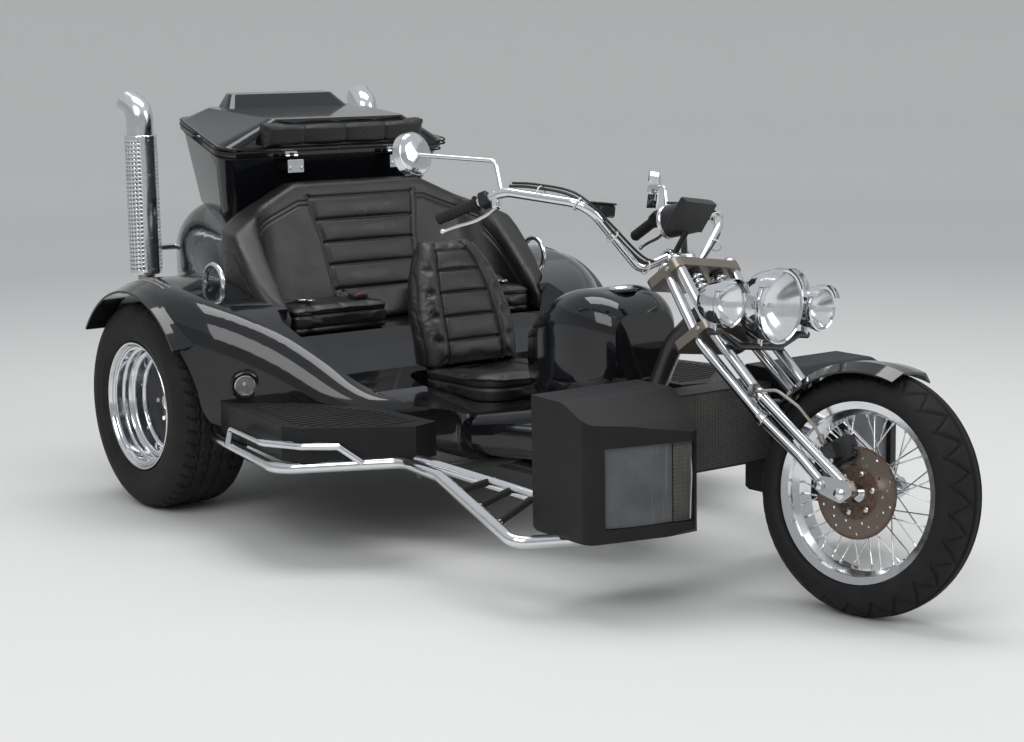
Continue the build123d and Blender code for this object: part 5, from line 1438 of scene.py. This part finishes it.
def node_finishes(colors):
    """A finish for every CAD node that stays in view."""
    chrome = metal("plated_chrome", colors.chrome, 0.06, 0.12)
    finishes = (
        (paint("body_gloss_black", colors.paint, 0.07, 0.18),
         ["body_shell", "fender_flares", "trunk_box", "trunk_lid", "fuel_tank", "front_fender"]),
        (paint("frame_satin_black", (0.02, 0.02, 0.022), 0.3, 0.5), ["chassis_frame", "rear_axle"]),
        (plain("engine_cast", (0.12, 0.12, 0.125), metallic=0.7, roughness=0.5), ["engine_block"]),
        (plastic("housing_textured", (0.008, 0.008, 0.0084), 0.46, 0.5, 700), ["radiator_housing"]),
        (core_finish(), ["radiator_cores"]),
        (plastic("step_textured", (0.007, 0.007, 0.0074), 0.46, 0.5, 600), ["step_boxes"]),
        (chrome, ["side_rail_right", "side_rail_left", "grab_handles", "gear_lever", "lid_hinges", "handlebar",
                  "mirrors", "front_axle"]),
        (brushed("yoke_bronze_grey", (0.3, 0.27, 0.23)), ["fork_yokes"]),
        (metal("fork_leg_chrome", tuple(c * 0.9 for c in colors.chrome), 0.09, 0.16),
         ["fork_rear_legs", "fork_front_legs"]),
        (plastic("instrument_case", (0.02, 0.02, 0.021), 0.32, 0.15, 1500), ["gauge_pod", "device_holder"]),
        (paint("bracket_satin_black", (0.02, 0.02, 0.022), 0.2, 0.3), ["lamp_bracket"]),
        (plain("caliper_cast", (0.05, 0.05, 0.052), metallic=0.6, roughness=0.42), ["brake_caliper"]),
        (braid("hose_braided", (0.55, 0.53, 0.47)), ["brake_hose"]),
        (metal("front_rim_chrome_look", colors.chrome, 0.07, 0.16), ["front_wheel_rim"]),
        (disc_finish(), ["brake_disc"]),
    )
    for material, names in finishes:
        for name in names:
            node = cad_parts[name]
            node.data.materials.clear()
            node.data.materials.append(material)


def brushed(name, color):
    """Brushed metal: fine streaks along the yokes in gloss and tone."""
    f = Finish(name, color, metallic=1.0, roughness=0.36)
    streak = f.noise(1.0, 4.0, 0.7, f.place((30, 900, 900)))
    f.set("Roughness", f.span(streak, 0.3, 0.7, 0.28, 0.46))
    f.set("Base Color", f.blend(f.span(streak, 0.35, 0.75), color, tuple(c * 0.78 for c in color)))
    f.relief(streak, 0.12, 0.0004)
    return f.material


def braid(name, color):
    """Braided hose: crossed slanting waves."""
    f = Finish(name, color, metallic=0.8, roughness=0.4)
    x, _, z = f.axes()
    weave = f.maths("SINE", (x + z) * 1900.0) * f.maths("SINE", (x - z) * 1900.0)
    f.set("Base Color", f.blend(f.span(weave, -0.6, 0.6), tuple(c * 0.4 for c in color), color))
    f.relief(weave, 0.5, 0.0006)
    return f.material


def core_finish():
    """Radiator core: fine upright fins crossed by flat tubes, with painted light and shade: lighter on the
    tubes' faces, dark in the channels between them.
    """
    f = Finish("core_fins", (0.1, 0.1, 0.1), metallic=0.6, roughness=0.5)
    _, y, z = f.axes()
    fins = f.maths("SINE", y * 2600.0)
    tubes = f.maths("SINE", z * 620.0)
    # Painted shade and light: the colour goes dark in the channels between the tubes and lighter on their
    # faces.
    f.set("Base Color", f.blend(f.span(tubes, -0.2, 0.5), (0.03, 0.03, 0.03), (0.14, 0.135, 0.125)))
    f.relief(fins * 0.6 + tubes, 0.7, 0.0015)
    return f.material


def plate_finish():
    """Smooth grey plate: broad cloudy sheen painted into its colour as lighter clouds, and upright scuffs over
    its inner third.
    """
    f = Finish("plate_smooth_grey", (0.07, 0.072, 0.076), roughness=0.36, specular_ior_level=0.5)
    y = f.axes()[1]
    cloud = f.noise(7.0, 5.0, 0.6)
    # Painted sheen: lighter clouds in the colour stand in for the plate's soft reflections.
    tone = f.blend(f.span(cloud, 0.3, 0.75), (0.05, 0.0515, 0.055), (0.095, 0.097, 0.103))
    scuff = f.span(f.noise(1.0, 4.0, 0.6, f.place((90, 90, 5))), 0.5, 0.78)
    inner = f.span(f.maths("ABSOLUTE", y), 0.45, 0.36)
    f.set("Base Color", f.blend(scuff * inner * 0.55, tone, (0.2, 0.2, 0.205)))
    f.set("Roughness", f.span(cloud, 0.3, 0.75, 0.3, 0.44))
    return f.material


def disc_finish():
    """Brake disc: bright swept ring, rusty at its edge and round the holder."""
    f = Finish("disc_worn_steel", (0.4, 0.39, 0.37), metallic=1.0, roughness=0.3)
    centre = steered([(WHEELBASE, -54, AXLE_Z)])
    spot = placed(centre)[0]
    where = f.node("ShaderNodeTexCoord", "Object")
    gap = f.node("ShaderNodeVectorMath", "Value", settings={"operation": "DISTANCE"}, i0=where, i1=tuple(spot))
    edge = f.span(gap, 0.108, 0.116)
    inner = f.span(gap, 0.072, 0.064)
    cloud = f.noise(60.0, 5.0, 0.7)
    rust = f.calc_max(edge, inner) * f.span(cloud, 0.25, 0.6)
    rings = f.maths("SINE", gap * 4200.0)
    f.set("Base Color", f.blend(rust, (0.2, 0.165, 0.14), (0.075, 0.036, 0.02)))
    f.set("Metallic", f.span(rust, 0.2, 0.8, 1.0, 0.1))
    f.set("Roughness", f.span(rust, 0.1, 0.9, 0.26, 0.8))
    f.relief(rings, 0.08, 0.0003)
    return f.material


def soft_goods(looks):
    """Bench, cushions, driver's seat and lid pad: remeshed copies, swollen under pressure, then sewn."""
    sizes = looks.sizes
    hide = leather("seat_leather", looks.colors.leather)
    pieces = (
        ("bench_leather_back", "bench_back", sizes.bench_voxel, 26, 1.0, bench_shape, "bench_leather", 0.8),
        ("bench_leather_cushions", "bench_cushions", 6.0, 8, 5.0, cushion_shape, "cushion_leather", 0.7),
        ("pilot_leather_back", "pilot_back", 5.0, 6, 3.5, pilot_back_shape, "pilot_leather", 0.75),
        ("pilot_leather_cushion", "pilot_cushion", 6.0, 8, 4.0, pilot_cushion_shape, "pilot_leather", 0.7),
        ("lid_leather_pad", "lid_pad", 5.0, 5, 2.5, lid_pad_shape, "bench_leather", 0.8),
    )
    for name, node, voxel, rounding, shrink, shape, slot_name, fill in pieces:
        piece = soft_copy(name, [node], voxel, rounding, shrink)
        if node != "bench_back":
            swell(piece, sizes.swell_cap)
        sewn(piece, shape)
        body = "lid" if node == "lid_pad" else "chassis"
        finished(piece, body, [node], hide, sizes.thin_share)


def soft_light(name, place, target, size, energy):
    """Square area lamp aimed at a point."""
    data = bpy.data.lights.new(name, "AREA")
    data.shape = "RECTANGLE"
    data.size, data.size_y = size
    data.energy = energy
    lamp = bpy.data.objects.new(name, data)
    lamp.location = place
    lamp.rotation_euler = (Vector(target) - Vector(place)).to_track_quat("-Z", "Y").to_euler()
    bpy.context.scene.collection.objects.link(lamp)


CAMERA_PLACE = (5.84 + REAR_X, -3.70, 1.43)
CAMERA_YAW, CAMERA_PITCH, CAMERA_ROLL = 53.1, 8.9, -1.0
WORLD_TINT = (0.86, 0.89, 0.93, 1)
FLOOR_SIDES = 96


def studio_floor(color):
    """Pale round floor of revolution about the origin that rises to a backdrop."""
    profile = [(0.0, 0.0), (9.0, 0.0), (10.4, 0.25), (11.6, 1.0), (12.4, 2.2), (12.8, 3.8), (12.9, 7.0)]
    r, z = resampled(profile, 0.2).T
    t = np.linspace(0, 2 * math.pi, FLOOR_SIDES, endpoint=False)
    rings = np.stack([np.outer(r, np.cos(t)), np.outer(r, np.sin(t)), np.outer(z, np.ones(FLOOR_SIDES))], -1)
    builder = Builder()
    builder.grid(rings[1:], wrap_v=True, cap_start=True, flip=True)
    mesh = bpy.data.meshes.new("studio_floor")
    mesh.from_pydata(np.concatenate(builder.verts).tolist(), [], builder.faces)
    mesh.polygons.foreach_set("use_smooth", [True] * len(mesh.polygons))
    floor = bpy.data.objects.new("studio_floor", mesh)
    finish = Finish("studio_floor_pale", tuple(color), roughness=0.7, specular_ior_level=0.2)
    floor.data.materials.append(finish.material)
    bpy.context.scene.collection.objects.link(floor)


def stage(settings):
    """Floor, three soft lamps, plain world light and a camera at the photo's angle."""
    studio_floor(settings.floor_color)
    world = bpy.data.worlds.new("studio_world")
    world.use_nodes = True
    ground = world.node_tree.nodes["Background"]
    ground.inputs["Color"].default_value = WORLD_TINT
    ground.inputs["Strength"].default_value = settings.world_strength
    bpy.context.scene.world = world
    for name, place, size, share in (
            ("key_light", (3.5, -5.5, 5.5), (5.0, 4.5), 1.0),
            ("fill_light", (5.5, 4.0, 4.0), (3.0, 3.0), 0.45),
            ("top_light", (-0.5, 0.5, 6.5), (5.0, 3.0), 0.9)):
        soft_light(name, place, (0, 0, 0.5), size, settings.lamp_power * share)
    yaw, pitch, roll = (math.radians(a) for a in (CAMERA_YAW, CAMERA_PITCH, CAMERA_ROLL))
    ahead = np.array([-math.sin(yaw) * math.cos(pitch), math.cos(yaw) * math.cos(pitch), -math.sin(pitch)])
    right = np.array([math.cos(yaw), math.sin(yaw), 0])
    up = np.cross(right, ahead)
    right, up = right * math.cos(roll) + up * math.sin(roll), up * math.cos(roll) - right * math.sin(roll)
    rows = np.eye(4)
    rows[:3, :4] = np.stack([right, up, -ahead, CAMERA_PLACE], 1)
    camera = bpy.data.objects.new("camera", bpy.data.cameras.new("camera"))
    camera.matrix_world = Matrix(rows.tolist())
    camera.data.sensor_width = 36
    camera.data.lens = settings.lens
    camera.data.clip_end = 200
    bpy.context.scene.collection.objects.link(camera)
    bpy.context.scene.camera = camera
    bpy.context.scene.view_settings.view_transform = "Standard"


class TrikeSizes(bpy.types.PropertyGroup):
    """Sizes of the soft goods."""
    bench_voxel: FloatProperty(name="Bench grain", description="Remesh size of the bench, in millimetres",
                               default=8.5)
    swell_cap: FloatProperty(name="Swell", description="Most a skin moves under pressure, in millimetres",
                             default=7.0)
    thin_share: FloatProperty(name="Kept share", description="Share of the soft pieces' triangles that is kept",
                              default=0.5, subtype="FACTOR")


class TrikeColors(bpy.types.PropertyGroup):
    """Colours shared by several finishes."""
    paint: FloatVectorProperty(name="Paint", description="Body paint", subtype="COLOR",
                               default=(0.006, 0.0065, 0.008))
    leather: FloatVectorProperty(name="Leather", description="Seat leather", subtype="COLOR",
                                 default=(0.008, 0.0078, 0.0076))
    chrome: FloatVectorProperty(name="Chrome", description="Plated parts", subtype="COLOR",
                                default=(0.76, 0.77, 0.79))


class TrikeStage(bpy.types.PropertyGroup):
    """Stage settings."""
    floor_color: FloatVectorProperty(name="Floor", description="Floor and backdrop", subtype="COLOR",
                                     default=(0.67, 0.67, 0.66))
    world_strength: FloatProperty(name="World", description="Plain light from all round", default=0.66)
    lamp_power: FloatProperty(name="Lamps", description="Key lamp's power", default=230.0, unit="POWER")
    lens: FloatProperty(name="Lens", description="Focal length on a 36 mm sensor, in millimetres", default=70.7)


class TrikeLooks(bpy.types.PropertyGroup):
    """All settings together."""
    sizes: PointerProperty(type=TrikeSizes)
    colors: PointerProperty(type=TrikeColors)
    stage: PointerProperty(type=TrikeStage)


class TRIKE_OT_finishes(bpy.types.Operator):
    """Give every CAD node its finish"""
    bl_idname = "trike.finishes"
    bl_label = "Finishes"
    bl_options = {"REGISTER", "UNDO"}

    def execute(self, context):
        node_finishes(context.scene.trike_looks.colors)
        return {"FINISHED"}


class TRIKE_OT_soft_goods(bpy.types.Operator):
    """Make the bench, cushions, driver's seat and lid pad"""
    bl_idname = "trike.soft_goods"
    bl_label = "Soft goods"
    bl_options = {"REGISTER", "UNDO"}

    def execute(self, context):
        soft_goods(context.scene.trike_looks)
        return {"FINISHED"}


class TRIKE_OT_wheels(bpy.types.Operator):
    """Make the tyres' treads, the deep rims and the front wheel's fastenings"""
    bl_idname = "trike.wheels"
    bl_label = "Wheels"
    bl_options = {"REGISTER", "UNDO"}

    def execute(self, context):
        colors = context.scene.trike_looks.colors
        rear_tyres()
        front_tyre()
        rear_rims(colors)
        front_details()
        return {"FINISHED"}


class TRIKE_OT_lamps(bpy.types.Operator):
    """Make the headlamp and the auxiliary lamps"""
    bl_idname = "trike.lamps"
    bl_label = "Lamps"
    bl_options = {"REGISTER", "UNDO"}

    def execute(self, context):
        lamps(context.scene.trike_looks.colors)
        return {"FINISHED"}


class TRIKE_OT_springs(bpy.types.Operator):
    """Make the fork's coil springs"""
    bl_idname = "trike.springs"
    bl_label = "Springs"
    bl_options = {"REGISTER", "UNDO"}

    def execute(self, context):
        springs(context.scene.trike_looks.colors)
        return {"FINISHED"}


class TRIKE_OT_controls(bpy.types.Operator):
    """Make grips, levers, mirrors' faces, gauge and holder"""
    bl_idname = "trike.controls"
    bl_label = "Controls"
    bl_options = {"REGISTER", "UNDO"}

    def execute(self, context):
        colors = context.scene.trike_looks.colors
        grips()
        controls(colors)
        fork_fittings(colors)
        return {"FINISHED"}


class TRIKE_OT_stacks(bpy.types.Operator):
    """Make the pierced exhaust stacks"""
    bl_idname = "trike.stacks"
    bl_label = "Exhaust stacks"
    bl_options = {"REGISTER", "UNDO"}

    def execute(self, context):
        stacks(context.scene.trike_looks.colors)
        return {"FINISHED"}


class TRIKE_OT_body_details(bpy.types.Operator):
    """Make trunk fittings, trim, grilles, treads and small fittings"""
    bl_idname = "trike.body_details"
    bl_label = "Body details"
    bl_options = {"REGISTER", "UNDO"}

    def execute(self, context):
        colors = context.scene.trike_looks.colors
        trunk_fittings(colors)
        body_trim()
        body_lamps(colors)
        housing_details()
        steps_and_rails(colors)
        small_fittings(colors)
        return {"FINISHED"}


class TRIKE_OT_belts(bpy.types.Operator):
    """Make the lap belts"""
    bl_idname = "trike.belts"
    bl_label = "Lap belts"
    bl_options = {"REGISTER", "UNDO"}

    def execute(self, context):
        belts(context.scene.trike_looks.colors)
        return {"FINISHED"}


class TRIKE_OT_stage(bpy.types.Operator):
    """Make floor, lamps, world light and camera"""
    bl_idname = "trike.stage"
    bl_label = "Stage"
    bl_options = {"REGISTER", "UNDO"}

    def execute(self, context):
        stage(context.scene.trike_looks.stage)
        return {"FINISHED"}


OPERATORS = (TRIKE_OT_finishes, TRIKE_OT_soft_goods, TRIKE_OT_wheels, TRIKE_OT_lamps, TRIKE_OT_springs,
             TRIKE_OT_controls, TRIKE_OT_stacks, TRIKE_OT_body_details, TRIKE_OT_belts, TRIKE_OT_stage)


class TRIKE_PT_panel(bpy.types.Panel):
    """Settings and steps in the sidebar"""
    bl_label = "Trike"
    bl_space_type = "VIEW_3D"
    bl_region_type = "UI"
    bl_category = "Trike"

    def draw(self, context):
        looks = context.scene.trike_looks
        for group in (looks.sizes, looks.colors, looks.stage):
            for key in group.__annotations__:
                self.layout.prop(group, key)
        for operator in OPERATORS:
            self.layout.operator(operator.bl_idname)


CLASSES = (TrikeSizes, TrikeColors, TrikeStage, TrikeLooks, *OPERATORS, TRIKE_PT_panel)


def register():
    """Registers the classes and hangs the settings on the scene."""
    for cls in CLASSES:
        bpy.utils.register_class(cls)
    bpy.types.Scene.trike_looks = PointerProperty(type=TrikeLooks)


def unregister():
    """Takes the settings and the classes off again."""
    del bpy.types.Scene.trike_looks
    for cls in reversed(CLASSES):
        bpy.utils.unregister_class(cls)


def main():
    """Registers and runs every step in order."""
    register()
    bpy.ops.trike.finishes()
    bpy.ops.trike.soft_goods()
    bpy.ops.trike.wheels()
    bpy.ops.trike.lamps()
    bpy.ops.trike.springs()
    bpy.ops.trike.controls()
    bpy.ops.trike.stacks()
    bpy.ops.trike.body_details()
    bpy.ops.trike.belts()
    bpy.ops.trike.stage()


if __name__ == "__main__":
    main()
